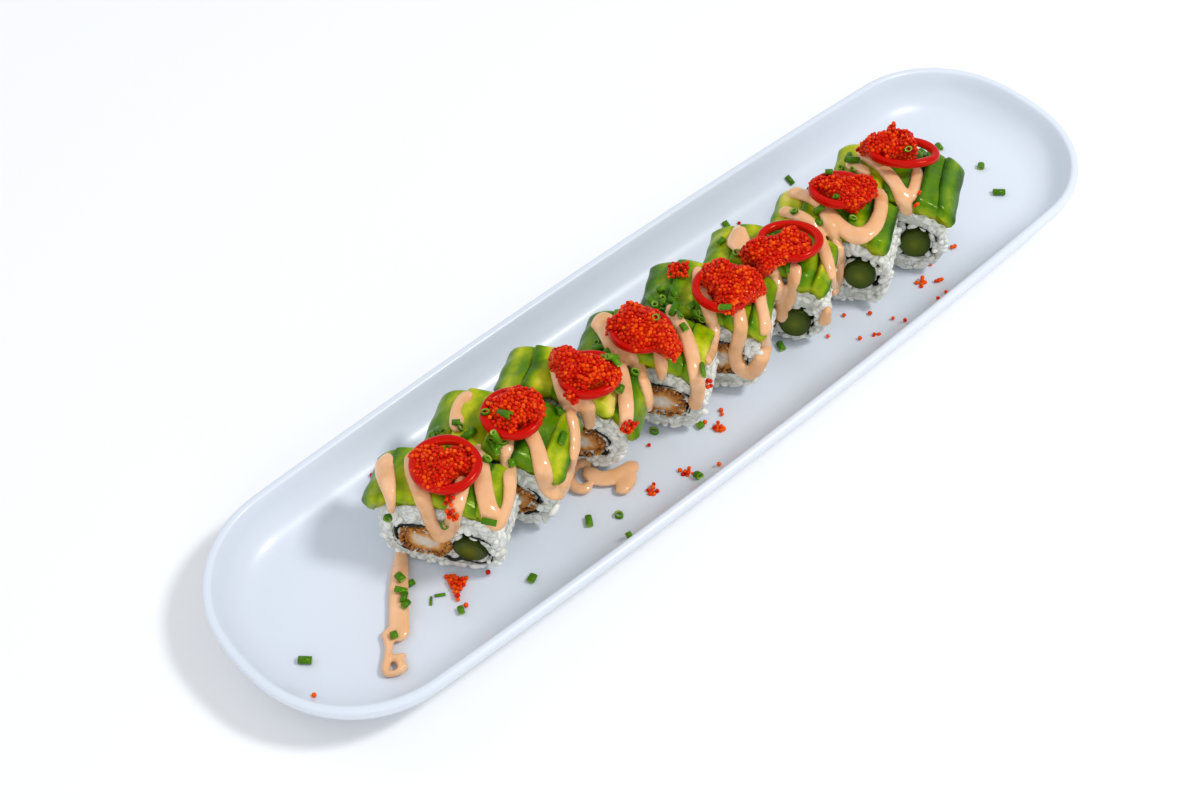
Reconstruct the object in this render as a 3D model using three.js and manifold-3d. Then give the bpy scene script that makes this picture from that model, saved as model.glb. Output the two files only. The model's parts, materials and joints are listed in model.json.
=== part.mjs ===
// Uramaki roll served as eight slices on a long white plate, with toppings and sauce.
// Millimetres, +Z up, origin at the centre of the plate's foot, +X along the plate.
import * as THREE from "three";
import { mergeVertices } from "three/addons/utils/BufferGeometryUtils.js";
import Module from "manifold-3d";

const wasm = await Module();
wasm.setup();

// Driving dimensions of the plate
const PLATE_LENGTH = 360;
const PLATE_WIDTH = 97;
const SIDE_RADIUS = 3420;
const CORNER_RADIUS = 40.5;
const END_RADIUS = 78;
const RIM_HEIGHT = 20;
const PLATE_FLOOR = 6.5;

// Driving dimensions of one slice of the roll
const SLICE_THICK = 19.5;
const ROLL_WIDTH = 40;
const ROLL_HEIGHT = 30;
const ROLL_SQUARENESS = 3;
const TOPPING_LIFT = 5;
const REST_GAP = 0.3;
const FRONT = -SLICE_THICK / 2;
const BACK = SLICE_THICK / 2;

// Filling of a slice: the nori sleeve round shrimp and asparagus
const SLEEVE = { u: 1, z: 13.2, halfWidth: 16, halfHeight: 8.2, squareness: 3 };
const NORI_THICK = 0.9;
const NORI_GAP = 0.4;
const SHRIMP = { u: -4.8, z: 13.2, halfWidth: 8, halfHeight: 6.5 };
const ASPARAGUS = { u: 9.3, z: 13.1, halfWidth: 5.2 };

// Sauce, chilli and roe
const SAUCE_HEIGHT = 5.9;
const SAUCE_THICK = 3.2;
const HANG_OUT = 2.3;
const CHILI_WALL = 2.8;
const CHILI_TALL = 3.2;
const CHILI_HEIGHT = 9.4;
const PART_GAP = 0.35;
const SLIVER = 0.2;

// Colours and finishes
const finish = (color, roughness) => new THREE.MeshStandardMaterial({ color, roughness, metalness: 0 });
const FINISHES = {
  plate: () => finish(0xe6eaf2, 0.12),
  rice: () => finish(0xd9dde0, 0.45),
  nori: () => finish(0x14201c, 0.5),
  shrimp: () => finish(0xb5682a, 0.6),
  asparagus: () => finish(0x46591a, 0.35),
  avocado: () => finish(0xa3b83a, 0.35),
  chili: () => finish(0xc41408, 0.15),
  roe: () => finish(0xe0380e, 0.25),
  sauce: () => finish(0xeab184, 0.15),
};

// The slices, near end first. x, y and turn place a slice; every other place on it is
// [a, s]: a runs over its top from the middle to the right, s from its front edge to
// its back, and a negative s hangs down the front by that many millimetres. fillSide
// is -1 where the slice lies the other way round, with its shrimp on the right, and
// extra is how much thicker it was cut than the others.
const SLICES = [
  {
    x: -101.5, y: -2, turn: -56, asparagusHalfHeight: 5.6, asparagusOut: 0.6,
    fillSide: 1, fillLift: -1, extra: 0,
    flaps: [[-30, -17, 0.5], [-18.5, -6, 0.9], [-8, 4, 0.4], [2.5, 14, 1.0], [12.5, 23, 0.7]],
    strands: [
      [[-20, 17, 5], [-19, 12, 6.5], [-16.5, 6, 5.6], [-14, 1.5, 3.8], [-13, -2, 2.6], [-13, -8, 2.2]],
      [[-10.5, 18.6, 4.4], [-8, 8, 4.3], [-5, 1, 4.7], [-3.2, -2, 5.2], [-1.5, -8.5, 5.4],
        [1.8, -14, 4.6], [5, -9, 4.3], [6.5, -2, 4.3], [6, 2, 4]],
      [[7.5, 18.6, 4.3], [11, 8, 4.4], [13.5, 2.5, 5.4], [17, -1, 5.4], [20.3, 1, 4.6],
        [20.6, 8, 4], [17, 18.6, 4.3]],
    ],
    chives: [[14.5, 15, 0.4], [18.5, 19, 1.2]],
    ring: { u: 0.4, s: 10.2, long: 10.6, short: 10.6, tilt: 0 },
    roe: { u: 0.4, s: 10.2, long: 7.4, short: 7.4, high: 12.6, brim: false },
  },
  {
    x: -77.5, y: 0, turn: -57, asparagusHalfHeight: 5.6, asparagusOut: 0.1,
    fillSide: -1, fillLift: 0, extra: 5,
    flaps: [[-27, -14, 0.4], [-15.5, -3, 0.6], [-4.5, 7, 0.5], [5.5, 17, 0.9], [15.5, 27, 0.6]],
    strands: [
      [[-13.5, 18.4, 4], [-14, 12, 5.6], [-13.5, 6, 5.2], [-13, 1, 4]],
      [[2, 18.4, 4.3], [8.5, 12, 4.3], [12.7, 4, 5.6], [15, 0, 5.6], [17.8, -4.5, 5.8],
        [20.5, -7, 5.4], [22.6, -1, 5.2], [19.9, 6.5, 4.7], [19.2, 18.6, 4.6]],
    ],
    chives: [[-15.5, 9.5, 0.3], [13.5, 11.5, 0.9]],
    ring: { u: 2.7, s: 12.4, long: 9.8, short: 9.8, tilt: 0 },
    roe: { u: 2.2, s: 13, long: 9.6, short: 8.6, high: 16, brim: true },
  },
  {
    x: -46.5, y: 2, turn: -58, asparagusHalfHeight: 5.6, asparagusOut: 0.1,
    fillSide: -1, fillLift: 0, extra: 0,
    flaps: [[-27, -14, 0.4], [-15.5, -4, 0.5], [-5.5, 7, 0.5], [5.5, 17.5, 1.4], [16, 34, 0.8]],
    strands: [
      [[-3.5, 4.5, 3], [-1, 1, 3.6], [0.5, -0.3, 4.3]],
      [[3, 3, 3.6], [5.5, 0, 4.2], [7.5, -3, 5.4], [7.8, -8, 4.3], [8.6, -14.5, 2.2]],
      [[11.5, 16, 3.6], [15.5, 8.5, 4], [18, 3.5, 4.7], [20, -0.5, 4.7], [20, -8, 3.6]],
      [[18, 17.5, 4.7], [22, 13.5, 5.2], [25.5, 8.5, 4.7], [28.5, 3.8, 4.7], [33, 1.5, 4.6],
        [37.5, 0.5, 5.2]],
    ],
    chives: [[10.5, 17, 0.2], [17, 11.5, 1.4]],
    ring: { u: 6.6, s: 6.2, long: 9.9, short: 9.6, tilt: 0 },
    roe: { u: 3, s: 9.6, long: 11.4, short: 7.8, high: 15.6, brim: true },
  },
  {
    x: -17, y: -4, turn: -56, asparagusHalfHeight: 5.6, asparagusOut: 0.1,
    fillSide: -1, fillLift: 0.5, extra: 0,
    flaps: [[-27, -14, 0.4], [-15.5, -4, 0.5], [-5.5, 6, 1.2], [4.5, 13, 1.8], [11.5, 20, 2.6]],
    strands: [
      [[-21.5, 17.5, 6.2], [-18.5, 12, 6.8], [-14.5, 5.5, 5.6], [-11.5, 0, 4.6]],
      [[-9, 3, 4.2], [-6.5, 0.6, 4.5], [-5, -0.3, 4.5]],
      [[1.5, 4, 3.6], [3.6, 0, 4.2], [4.8, -3.5, 3.9], [5.6, -8.5, 2.4]],
      [[3, 18, 3.9], [7.5, 13.5, 4.3], [13, 4.5, 4.7], [15, -0.5, 4.7], [16.2, -8, 4.7],
        [16.8, -17, 3.8]],
      [[15.5, 18.5, 4.3], [18, 13, 4.6], [18.3, 8, 3.9], [18, 4, 2.6]],
    ],
    chives: [[4.5, 16.5, 0.7], [9.5, 17.5, 1.3]],
    ring: { u: -3.8, s: 6.4, long: 10.2, short: 9.5, tilt: 0 },
    roe: { u: -3.4, s: 8.8, long: 12.4, short: 8.4, high: 15.8, brim: true },
  },
  {
    x: 9, y: -4.3, turn: -57, asparagusHalfHeight: 5.6, asparagusOut: 0.1,
    fillSide: -1, fillLift: 2, extra: 4.5,
    flaps: [[-27, -14, 0.4], [-15.5, -4, 0.6], [-5.5, 6, 0.6], [4.5, 14.5, 0.9], [13, 22, 0.9]],
    strands: [
      [[-5.5, 8, 4.3], [-3, 4.5, 4], [-0.5, 0.4, 4.4]],
      [[9.5, 3, 5.2], [11, -1, 5.4], [11.5, -9, 5.2], [12.8, -14.5, 5.6], [16, -18, 5.6],
        [19.2, -10.5, 5.6], [20, -3, 5.2], [18, 2, 4.7], [14.5, 11.5, 3.6]],
      [[18.5, 18.6, 4.7], [22, 14.5, 4.7], [23, 8, 4.2], [23.5, 1, 3.6], [24.3, -4.5, 3.2]],
    ],
    chives: [[-14.5, 6.5, 0.2], [-10, 10.5, 1.1]],
    ring: { u: 3.2, s: 8.8, long: 10.2, short: 10.2, tilt: 0 },
    roe: { u: 6, s: 11.4, long: 10.4, short: 7.8, high: 15.8, brim: true },
  },
  {
    x: 39.5, y: -4, turn: -56, asparagusHalfHeight: 6.1, asparagusOut: 1,
    fillSide: 1, fillLift: -3, extra: 0,
    flaps: [[-27, -14, 0.4], [-15.5, -4, 0.5], [-5.5, 9.5, 0.5], [8, 15.5, 3.2], [14, 21.5, 3]],
    strands: [
      [[-12, 18.4, 4.3], [-14, 12.5, 5.6], [-12, 7.5, 5.2], [-9, 3.5, 3]],
      [[-2.5, 4, 3.6], [-0.6, 0.8, 4.2], [0.3, -0.3, 4.2]],
      [[7.5, 3, 4.3], [7.2, -0.8, 4.3], [7.5, -7, 3.8], [6.9, -14, 2.2]],
      [[15, 2.5, 3.6], [18, 0, 3.6], [21, -2, 3.2], [21.2, -8, 3], [19.6, -15, 4.8],
        [19.7, -21.5, 4.2]],
      [[16, 18.6, 4.3], [19, 14.5, 4.3], [21.5, 7.5, 3.6], [21, 3, 2.6]],
    ],
    chives: [[-16, 6.5, 0.5], [5, 0.5, 1.2]],
    ring: { u: 3.5, s: 8.6, long: 11, short: 9.2, tilt: 0 },
    roe: { u: -1, s: 6.8, long: 10.4, short: 6.8, high: 14.8, brim: true },
  },
  {
    x: 67.5, y: -7.5, turn: -57, asparagusHalfHeight: 6.1, asparagusOut: 1,
    fillSide: 1, fillLift: 3, extra: 1.2,
    flaps: [[-27, -14, 0.4], [-15.5, -4, 0.5], [-5.5, 4, 0.4], [2.5, 12, 0.4], [10.5, 19.5, 1.8]],
    strands: [
      [[-19, 17, 4.7], [-14, 13, 4.7], [-9, 10, 4], [-4, 6.5, 4], [0, 2.5, 5], [4, 0.6, 5.2],
        [8, 0.8, 4.8], [11, 4, 5], [12, 10, 4.3], [10.5, 18.6, 3.2]],
      [[-21, 8.5, 4.3], [-16, 4.5, 4.5], [-11.5, 2, 3.6], [-5, 1.4, 3.6], [-2.5, -0.2, 4]],
    ],
    chives: [[-7.5, 2.5, 0.6], [-17.5, 8, 1.4]],
    ring: { u: -2, s: 14.2, long: 11.4, short: 8.9, tilt: 4 },
    roe: { u: 0.6, s: 14.2, long: 9.6, short: 6.2, high: 14.4, brim: true },
  },
  {
    x: 94, y: -9.5, turn: -58, asparagusHalfHeight: 6.1, asparagusOut: 1,
    fillSide: 1, fillLift: 1.5, extra: 7,
    flaps: [[-27, -14, 0.4], [-15.5, -4, 0.5], [-5.5, 7, 0.5], [6, 16, 1.6], [14.5, 25, 1.4]],
    strands: [
      [[-14, 16.5, 3.6], [-10, 12.5, 4], [-5.5, 9, 4.3], [-1, 6, 4.6], [2.3, 0.5, 4.6],
        [5, -3, 5], [7, -8.5, 3.8]],
      [[4.5, 10.5, 4.3], [5.5, 5.5, 4], [5, 2.5, 3]],
      [[-18, 12.5, 4], [-14.5, 9, 4.7], [-11, 7, 4], [-8, 6, 3]],
    ],
    chives: [[-12, 13.5, 0.5], [20, 19, 1.2]],
    ring: { u: -0.7, s: 15.6, long: 12.4, short: 8.4, tilt: 8 },
    roe: { u: -4, s: 16.4, long: 10, short: 6.2, high: 17.2, brim: true },
  },
];

// Sauce lying on the plate, as [x, y, width] along its middle
const TRAIL = [[-117.2, 4.2, 4.4], [-120.5, 0.2, 5.4], [-124.8, -5, 5.4], [-130, -11.2, 5.4],
  [-133.2, -15, 6], [-136.2, -17.8, 9], [-139.4, -20.6, 5], [-141.6, -23.6, 5], [-144.4, -27.4, 8]];
const PUDDLE = [[-54.8, -9.2, 3.6], [-58.4, -12, 4.4], [-57, -15.6, 4.8], [-52.8, -15.2, 5.2],
  [-48.4, -18.6, 5.2], [-44.4, -20.8, 6], [-46.8, -24.6, 7], [-48.8, -27, 5.6]];
const POOL_THICK = 3.4;
const DRIZZLE_ON_PLATE = { low: PLATE_FLOOR + 0.35 };

// A repeatable number from 0 to 1 for each whole number
function chance(seed) {
  let value = (seed * 2654435761) >>> 0;
  value = Math.imul(value ^ (value >>> 15), 2246822519) >>> 0;
  value = Math.imul(value ^ (value >>> 13), 3266489917) >>> 0;
  return ((value ^ (value >>> 16)) >>> 0) / 4294967296;
}

// Skin the loops one after another; a ring joins the last loop to the first one
function loft(loops, joined = false) {
  const count = loops[0].length;
  const bands = joined ? loops.length : loops.length - 1;
  const positions = loops.flat().flatMap((point) => [point.x, point.y, point.z]);
  const index = [];
  for (let band = 0; band < bands; band += 1) {
    const low = band * count;
    const high = ((band + 1) % loops.length) * count;
    for (let k = 0; k < count; k += 1) {
      const next = (k + 1) % count;
      index.push(low + k, low + next, high + next, low + k, high + next, high + k);
    }
  }
  if (!joined) {
    const last = (loops.length - 1) * count;
    for (let k = 1; k < count - 1; k += 1) {
      index.push(0, k + 1, k, last, last + k, last + k + 1);
    }
  }
  return facingOut(positions, index);
}

// A closed geometry with its faces turned outwards
function facingOut(positions, index) {
  const corner = (k) => new THREE.Vector3().fromArray(positions, index[k] * 3);
  let volume = 0;
  for (let k = 0; k < index.length; k += 3) {
    volume += corner(k).dot(corner(k + 1).cross(corner(k + 2)));
  }
  const faces = volume < 0 ? [...index].reverse() : index;
  const geometry = new THREE.BufferGeometry();
  geometry.setAttribute("position", new THREE.Float32BufferAttribute(positions, 3));
  geometry.setIndex(faces);
  return geometry;
}

// Solids made on the way, so that their memory can be freed
let working = [];
function noted(solid) {
  working.push(solid);
  return solid;
}

// Free every working solid but the one that the next slice is cut against
function freeAllBut(solid) {
  working.filter((other) => other !== solid).forEach((other) => other.delete());
  working = [solid];
}

// Closed geometry to solid, for joining and cutting
function solidOf(geometry) {
  const bare = geometry.clone();
  bare.deleteAttribute("normal");
  bare.deleteAttribute("uv");
  const welded = mergeVertices(bare, 1e-4);
  return noted(new wasm.Manifold(new wasm.Mesh({
    numProp: 3,
    vertProperties: new Float32Array(welded.attributes.position.array),
    triVerts: new Uint32Array(welded.index.array),
  })));
}

// Solid back to geometry, keeping only its largest body and no sliver of a face
function geometryOf(solid) {
  const bodies = noted(solid.simplify(SLIVER)).decompose().map(noted);
  const volumes = bodies.map((body) => body.volume());
  const largest = bodies[volumes.indexOf(Math.max(...volumes))];
  const mesh = largest.getMesh();
  const geometry = new THREE.BufferGeometry();
  geometry.setAttribute("position", new THREE.Float32BufferAttribute(mesh.vertProperties, 3));
  geometry.setIndex([...mesh.triVerts]);
  return geometry;
}

// Join solids into one
function joinAll(solids) {
  return solids.reduce((sum, solid) => noted(sum.add(solid)));
}

// The plate's outline, drawn in by an inset: end, corner and side arcs of one quarter,
// mirrored into the other three
function plateLoop(inset, z) {
  const endCentre = PLATE_LENGTH / 2 - END_RADIUS;
  const sideCentre = PLATE_WIDTH / 2 - SIDE_RADIUS;
  const toEnd = END_RADIUS - CORNER_RADIUS;
  const toSide = SIDE_RADIUS - CORNER_RADIUS;
  const apart = Math.hypot(endCentre, sideCentre);
  const along = (apart * apart + toSide * toSide - toEnd * toEnd) / (2 * apart);
  const across = Math.sqrt(toSide * toSide - along * along);
  const unit = new THREE.Vector2(endCentre / apart, -sideCentre / apart);
  const corner = new THREE.Vector2(
    unit.x * along + unit.y * across,
    sideCentre + unit.y * along - unit.x * across,
  );
  const endTurn = Math.atan2(corner.y, corner.x - endCentre);
  const sideTurn = Math.atan2(corner.y - sideCentre, corner.x);
  const arcs = [
    { x: endCentre, y: 0, radius: END_RADIUS, from: 0, to: endTurn, steps: 1 },
    { x: corner.x, y: corner.y, radius: CORNER_RADIUS, from: endTurn, to: sideTurn, steps: 8 },
    { x: 0, y: sideCentre, radius: SIDE_RADIUS, from: sideTurn, to: Math.PI / 2, steps: 2 },
  ];
  const quarter = arcs.flatMap((arc) => Array.from({ length: arc.steps }, (unused, k) => {
    const angle = arc.from + ((arc.to - arc.from) * (k + 0.5)) / arc.steps;
    const reach = (arc.radius - inset) / Math.cos((arc.to - arc.from) / arc.steps / 2);
    return new THREE.Vector2(arc.x + Math.cos(angle) * reach, arc.y + Math.sin(angle) * reach);
  }));
  const mirrored = [...quarter].reverse();
  return [
    ...quarter.map((p) => new THREE.Vector3(p.x, p.y, z)),
    ...mirrored.map((p) => new THREE.Vector3(-p.x, p.y, z)),
    ...quarter.map((p) => new THREE.Vector3(-p.x, -p.y, z)),
    ...mirrored.map((p) => new THREE.Vector3(p.x, -p.y, z)),
  ];
}

// The plate: recessed underside, flat foot ring, curved outer wall, round lip, curved
// inner wall and flat floor, as [inset from the rim outline, height]
function plate() {
  const section = [
    [22, 1.4], [21, 0], [17, 0], [14.5, 1.6], [9, 4.4], [4.2, 9], [1.2, 14.5], [0, 18.8],
    [0.9, RIM_HEIGHT], [2.4, RIM_HEIGHT], [3.4, 18.6], [6, 13.2], [10, 9.2], [15, 7.1],
    [21, PLATE_FLOOR],
  ];
  return loft(section.map(([inset, z]) => plateLoop(inset, z)));
}

// A point of a rounded square outline at an angle from its top
function squarePoint(angle, halfWidth, halfHeight, squareness) {
  const power = 2 / squareness;
  return new THREE.Vector2(
    Math.sign(Math.sin(angle)) * Math.abs(Math.sin(angle)) ** power * halfWidth,
    Math.sign(Math.cos(angle)) * Math.abs(Math.cos(angle)) ** power * halfHeight,
  );
}

// Evenly spaced points along a rounded square outline, from its top to the right
function squareLoop(halfWidth, halfHeight, squareness, count) {
  const fine = Array.from({ length: 2400 }, (unused, k) => (
    squarePoint((k / 2400) * Math.PI * 2, halfWidth, halfHeight, squareness)));
  const path = new THREE.Path().setFromPoints([...fine, fine[0]]);
  return path.getSpacedPoints(count).slice(0, count);
}

// The curve that the toppings lie on, and its length from the top middle
const overCurve = new THREE.Path().setFromPoints(Array.from({ length: 2401 }, (unused, k) => (
  squarePoint(
    -Math.PI + (k / 2400) * Math.PI * 2,
    ROLL_WIDTH / 2 + TOPPING_LIFT,
    ROLL_HEIGHT / 2 + TOPPING_LIFT,
    ROLL_SQUARENESS,
  ))));
const OVER_LENGTH = overCurve.getLength();

// Place and outward direction at a over the roll, at a height above the rice
function over(a, height) {
  const share = 0.5 + a / OVER_LENGTH;
  const point = overCurve.getPointAt(share);
  const before = overCurve.getPointAt(share - 0.002);
  const after = overCurve.getPointAt(share + 0.002);
  const along = after.sub(before).normalize();
  const out = new THREE.Vector2(-along.y, along.x);
  return {
    u: point.x + out.x * (height - TOPPING_LIFT),
    z: point.y + out.y * (height - TOPPING_LIFT) + ROLL_HEIGHT / 2,
    out,
  };
}

// Depth of a slice's back face
function backOf(slice) {
  return BACK + slice.extra;
}

// The filling's place in a slice: which way round it lies, and how high
function placed(spec, slice) {
  return { ...spec, u: spec.u * slice.fillSide, z: spec.z + slice.fillLift };
}

// Loop of a rounded square at depth v, its corners drawn in by small random amounts
function roughLoop(spec, count, v, rough, seed) {
  return squareLoop(spec.halfWidth, spec.halfHeight, spec.squareness, count).map((point, k) => {
    const pull = rough.side * chance(seed + k);
    const size = 1 - pull / point.length();
    const depth = v + rough.depth * chance(seed + k + 500);
    return new THREE.Vector3(spec.u + point.x * size, depth, spec.z + point.y * size);
  });
}

// The rice: a thick sleeve of lumpy grains round the nori
function rice(number, slice) {
  const count = 20;
  const seed = 1000 * number;
  const body = (inset) => ({
    u: 0,
    z: ROLL_HEIGHT / 2,
    halfWidth: ROLL_WIDTH / 2 - inset,
    halfHeight: ROLL_HEIGHT / 2 - inset,
    squareness: ROLL_SQUARENESS,
  });
  const sleeve = placed(SLEEVE, slice);
  const between = {
    u: sleeve.u / 2,
    z: (sleeve.z + ROLL_HEIGHT / 2) / 2,
    halfWidth: (sleeve.halfWidth + ROLL_WIDTH / 2) / 2,
    halfHeight: (sleeve.halfHeight + ROLL_HEIGHT / 2) / 2,
    squareness: ROLL_SQUARENESS,
  };
  const flat = { side: 0, depth: 0 };
  const back = backOf(slice);
  const loops = [
    roughLoop(sleeve, count, back, flat, seed),
    roughLoop(body(0.9), count, back - 0.4, { side: 0.6, depth: 0.4 }, seed + 40),
    roughLoop(body(0), count, back / 2 + 1, { side: 1.3, depth: 0 }, seed + 80),
    roughLoop(body(0), count, 0, { side: 1.3, depth: 0 }, seed + 120),
    roughLoop(body(0), count, FRONT / 2 - 1, { side: 1.3, depth: 0 }, seed + 160),
    roughLoop(body(0.9), count, FRONT, { side: 0.6, depth: 0.7 }, seed + 200),
    roughLoop(between, count, FRONT, { side: 0.8, depth: 1.2 }, seed + 240),
    roughLoop(sleeve, count, FRONT, { side: 0, depth: 0.6 }, seed + 280),
  ];
  return loft(loops, true);
}

// The nori sleeve, a thin sheet rolled round the filling
function nori(slice) {
  const count = 20;
  const ring = (gap, v) => roughLoop({
    ...placed(SLEEVE, slice),
    halfWidth: SLEEVE.halfWidth - gap,
    halfHeight: SLEEVE.halfHeight - gap,
  }, count, v, { side: 0, depth: 0 }, 1);
  const outer = NORI_GAP;
  const inner = NORI_GAP + NORI_THICK;
  const back = backOf(slice) - 0.2;
  return loft([ring(outer, back), ring(outer, FRONT), ring(inner, FRONT), ring(inner, back)], true);
}

// The fried shrimp with its craggy crust
function shrimp(number, slice) {
  const spec = { ...placed(SHRIMP, slice), squareness: 2.2 };
  const rough = { side: 1.1, depth: 0.6 };
  return loft([
    roughLoop(spec, 12, backOf(slice) - 0.8, rough, 60 * number),
    roughLoop(spec, 12, 0, rough, 60 * number + 20),
    roughLoop(spec, 12, FRONT + 0.1, rough, 60 * number + 40),
  ]);
}

// The asparagus spear that runs through the slice
function asparagus(slice) {
  const ring = (inset, v) => roughLoop({
    ...placed(ASPARAGUS, slice),
    halfWidth: ASPARAGUS.halfWidth - inset,
    halfHeight: slice.asparagusHalfHeight - inset,
    squareness: 2.05,
  }, 12, v, { side: 0, depth: 0 }, 1);
  const front = FRONT - slice.asparagusOut;
  return loft([ring(0, backOf(slice) - 0.4), ring(0, front + 0.6), ring(0.6, front)]);
}

// One avocado slice laid over the roll, thick at its left edge where it lies on the next
function flap([from, to, overhang], order, extra) {
  const steps = to - from > 14 ? 3 : 2;
  const under = [];
  const top = [];
  for (let k = 0; k <= steps; k += 1) {
    const share = k / steps;
    const a = from + (to - from) * share;
    under.push(over(a, 0.9));
    const bevel = share === 0 || share === 1 ? 0.4 : 0;
    top.push(over(a, 5.8 - 1.1 * share - bevel));
  }
  const outline = [...under, ...top.reverse()];
  const back = BACK + extra - 0.1 - 0.7 * chance(order + 9);
  const atDepth = (v, drop) => outline.map((point) => new THREE.Vector3(point.u, v, point.z - drop));
  const front = atDepth(FRONT - overhang, overhang * 0.5);
  return loft(overhang > 1.5 ? [atDepth(back, 0), atDepth(FRONT, 0), front] : [atDepth(back, 0), front]);
}

// Where a point of a sauce strand is, and which way its top faces
function strandFrame([a, s, width]) {
  if (s >= 0) {
    const place = over(a, SAUCE_HEIGHT);
    const lean = Math.max(0, 1 - s / 1.5);
    const out = new THREE.Vector3(place.out.x, -lean, place.out.y).normalize();
    return { place: new THREE.Vector3(place.u, FRONT + s, place.z), out, width };
  }
  const edge = over(a, TOPPING_LIFT);
  const out = new THREE.Vector3(0, -1, Math.max(0, 0.8 + s / 4)).normalize();
  return { place: new THREE.Vector3(edge.u, FRONT - HANG_OUT, edge.z + s), out, width };
}

// A flattened rope of sauce through a list of framed points
function rope(frames, thick, sides) {
  const loops = frames.map((frame, k) => {
    const before = frames[Math.max(0, k - 1)].place;
    const after = frames[Math.min(frames.length - 1, k + 1)].place;
    const along = after.clone().sub(before).normalize();
    const side = along.clone().cross(frame.out).normalize();
    const up = side.clone().cross(along).normalize();
    const reach = sides === 4 ? 1.2 : 1;
    return Array.from({ length: sides }, (unused, j) => {
      const angle = ((j + 0.5) / sides) * Math.PI * 2;
      return frame.place.clone()
        .addScaledVector(side, (Math.cos(angle) * reach * frame.width) / 2)
        .addScaledVector(up, (Math.sin(angle) * reach * thick) / 2);
    });
  });
  return loft(loops);
}

// A short piece of chive lying on the toppings, turned by an angle
function chive([a, s, turn]) {
  const place = over(a, 5.7);
  const geometry = new THREE.CylinderGeometry(1.6, 1.6, 4, 6);
  geometry.rotateZ(turn);
  geometry.rotateX(0.25);
  geometry.translate(place.u, Math.min(FRONT + s, BACK - 2.4), place.z);
  return geometry;
}

// Avocado slices, the sauce drizzled over them and the chives on top, as one solid
function topping(slice) {
  const flaps = slice.flaps.map((spec, order) => solidOf(flap(spec, order, slice.extra)));
  const ropes = slice.strands.map((strand) => solidOf(rope(strand.map(strandFrame), SAUCE_THICK, 4)));
  const chives = slice.chives.map((spec) => solidOf(chive(spec)));
  return joinAll([...flaps, ...ropes, ...chives]);
}

// Long axis of the chilli rings in the slice's own frame
const RING_TURN = THREE.MathUtils.degToRad(14);

// Turn a flat [long, short, height] offset into the slice's frame round a centre
function onTop(centre, long, short, height) {
  const turned = new THREE.Vector2(long, short).rotateAround(new THREE.Vector2(), RING_TURN);
  const lean = THREE.MathUtils.degToRad(centre.tilt || 0);
  return new THREE.Vector3(
    centre.u + turned.x,
    FRONT + centre.s + turned.y * Math.cos(lean),
    ROLL_HEIGHT + height - turned.y * Math.sin(lean),
  );
}

// How far a leaning ring is raised to stay clear of the sauce
function ringLift(ring) {
  return Math.sin(THREE.MathUtils.degToRad(ring.tilt)) * ring.short;
}

// The chilli ring, a cut slice of the pod's wall
function chili(ring) {
  const half = CHILI_WALL / 2;
  const tall = CHILI_TALL / 2;
  const section = [[-half, -tall * 0.8], [half * 0.7, -tall], [half * 1.1, 0], [half * 0.5, tall],
    [-half, tall * 0.85]];
  const count = 14;
  const loops = Array.from({ length: count }, (unused, k) => {
    const angle = (k / count) * Math.PI * 2;
    return section.map(([side, up]) => onTop(
      ring,
      Math.cos(angle) * (ring.long - half + side),
      Math.sin(angle) * (ring.short - half + side),
      CHILI_HEIGHT + ringLift(ring) + up,
    ));
  });
  return loft(loops, true);
}

// The roe of one slice: a plug that fills the ring, and a lumpy heap over it
function roeHeap(ring, cap, seed) {
  const count = 10;
  const ringTop = CHILI_HEIGHT + CHILI_TALL / 2 + ringLift(ring) + PART_GAP;
  const hole = {
    ...ring,
    long: ring.long - CHILI_WALL * 1.25 - PART_GAP,
    short: ring.short - CHILI_WALL * 1.25 - PART_GAP,
  };
  const levels = [
    [hole, 1, CHILI_HEIGHT - CHILI_TALL / 2 + ringLift(ring) + 0.5, 0],
    [hole, 1, cap.brim ? ringTop : ringTop - 1.2, 0],
    [cap, 1, cap.brim ? ringTop + 0.2 : ringTop - 0.6, 0.14],
    [cap, 0.9, ringTop + (cap.high - ringTop) * 0.55, 0.16],
    [cap, 0.5, cap.high, 0.16],
  ];
  return loft(levels.map(([spec, size, height, rough], level) => (
    Array.from({ length: count }, (unused, k) => {
      const angle = (k / count) * Math.PI * 2;
      const reach = size * (1 - rough * chance(seed + level * 20 + k));
      return onTop(spec, Math.cos(angle) * spec.long * reach, Math.sin(angle) * spec.short * reach, height);
    }))));
}

// Single eggs standing proud of a heap
function eggs(cap, seed) {
  return [0, 1, 2, 3].map((k) => {
    const egg = new THREE.OctahedronGeometry(1.5, 0);
    const angle = (k / 4 + 0.2 * chance(seed + k)) * Math.PI * 2;
    const place = onTop(
      cap,
      Math.cos(angle) * cap.long * 0.55,
      Math.sin(angle) * cap.short * 0.55,
      cap.high - 0.7,
    );
    egg.translate(place.x, place.y, place.z);
    return egg;
  });
}

// The heap of roe with the eggs fused to it
function roe(slice, number) {
  const heap = solidOf(roeHeap(slice.ring, slice.roe, 300 * number));
  return joinAll([heap, ...eggs(slice.roe, 40 * number).map(solidOf)]);
}

// Sauce lying on the plate along a list of places
function pool(route) {
  const frames = route.map(([x, y, width]) => ({
    place: new THREE.Vector3(x, y, DRIZZLE_ON_PLATE.low + POOL_THICK / 2),
    out: new THREE.Vector3(0, 0, 1),
    width,
  }));
  return rope(frames, POOL_THICK, 6);
}

const uramaki = new THREE.Group();

function addPart(parent, name, geometry, look) {
  const mesh = new THREE.Mesh(geometry, FINISHES[look]());
  mesh.name = name;
  parent.add(mesh);
}

// The slice's own place on the plate
function seat(slice) {
  const group = new THREE.Group();
  group.position.set(slice.x, slice.y, PLATE_FLOOR + REST_GAP);
  group.rotation.z = THREE.MathUtils.degToRad(slice.turn);
  group.updateMatrix();
  return group;
}

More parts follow.
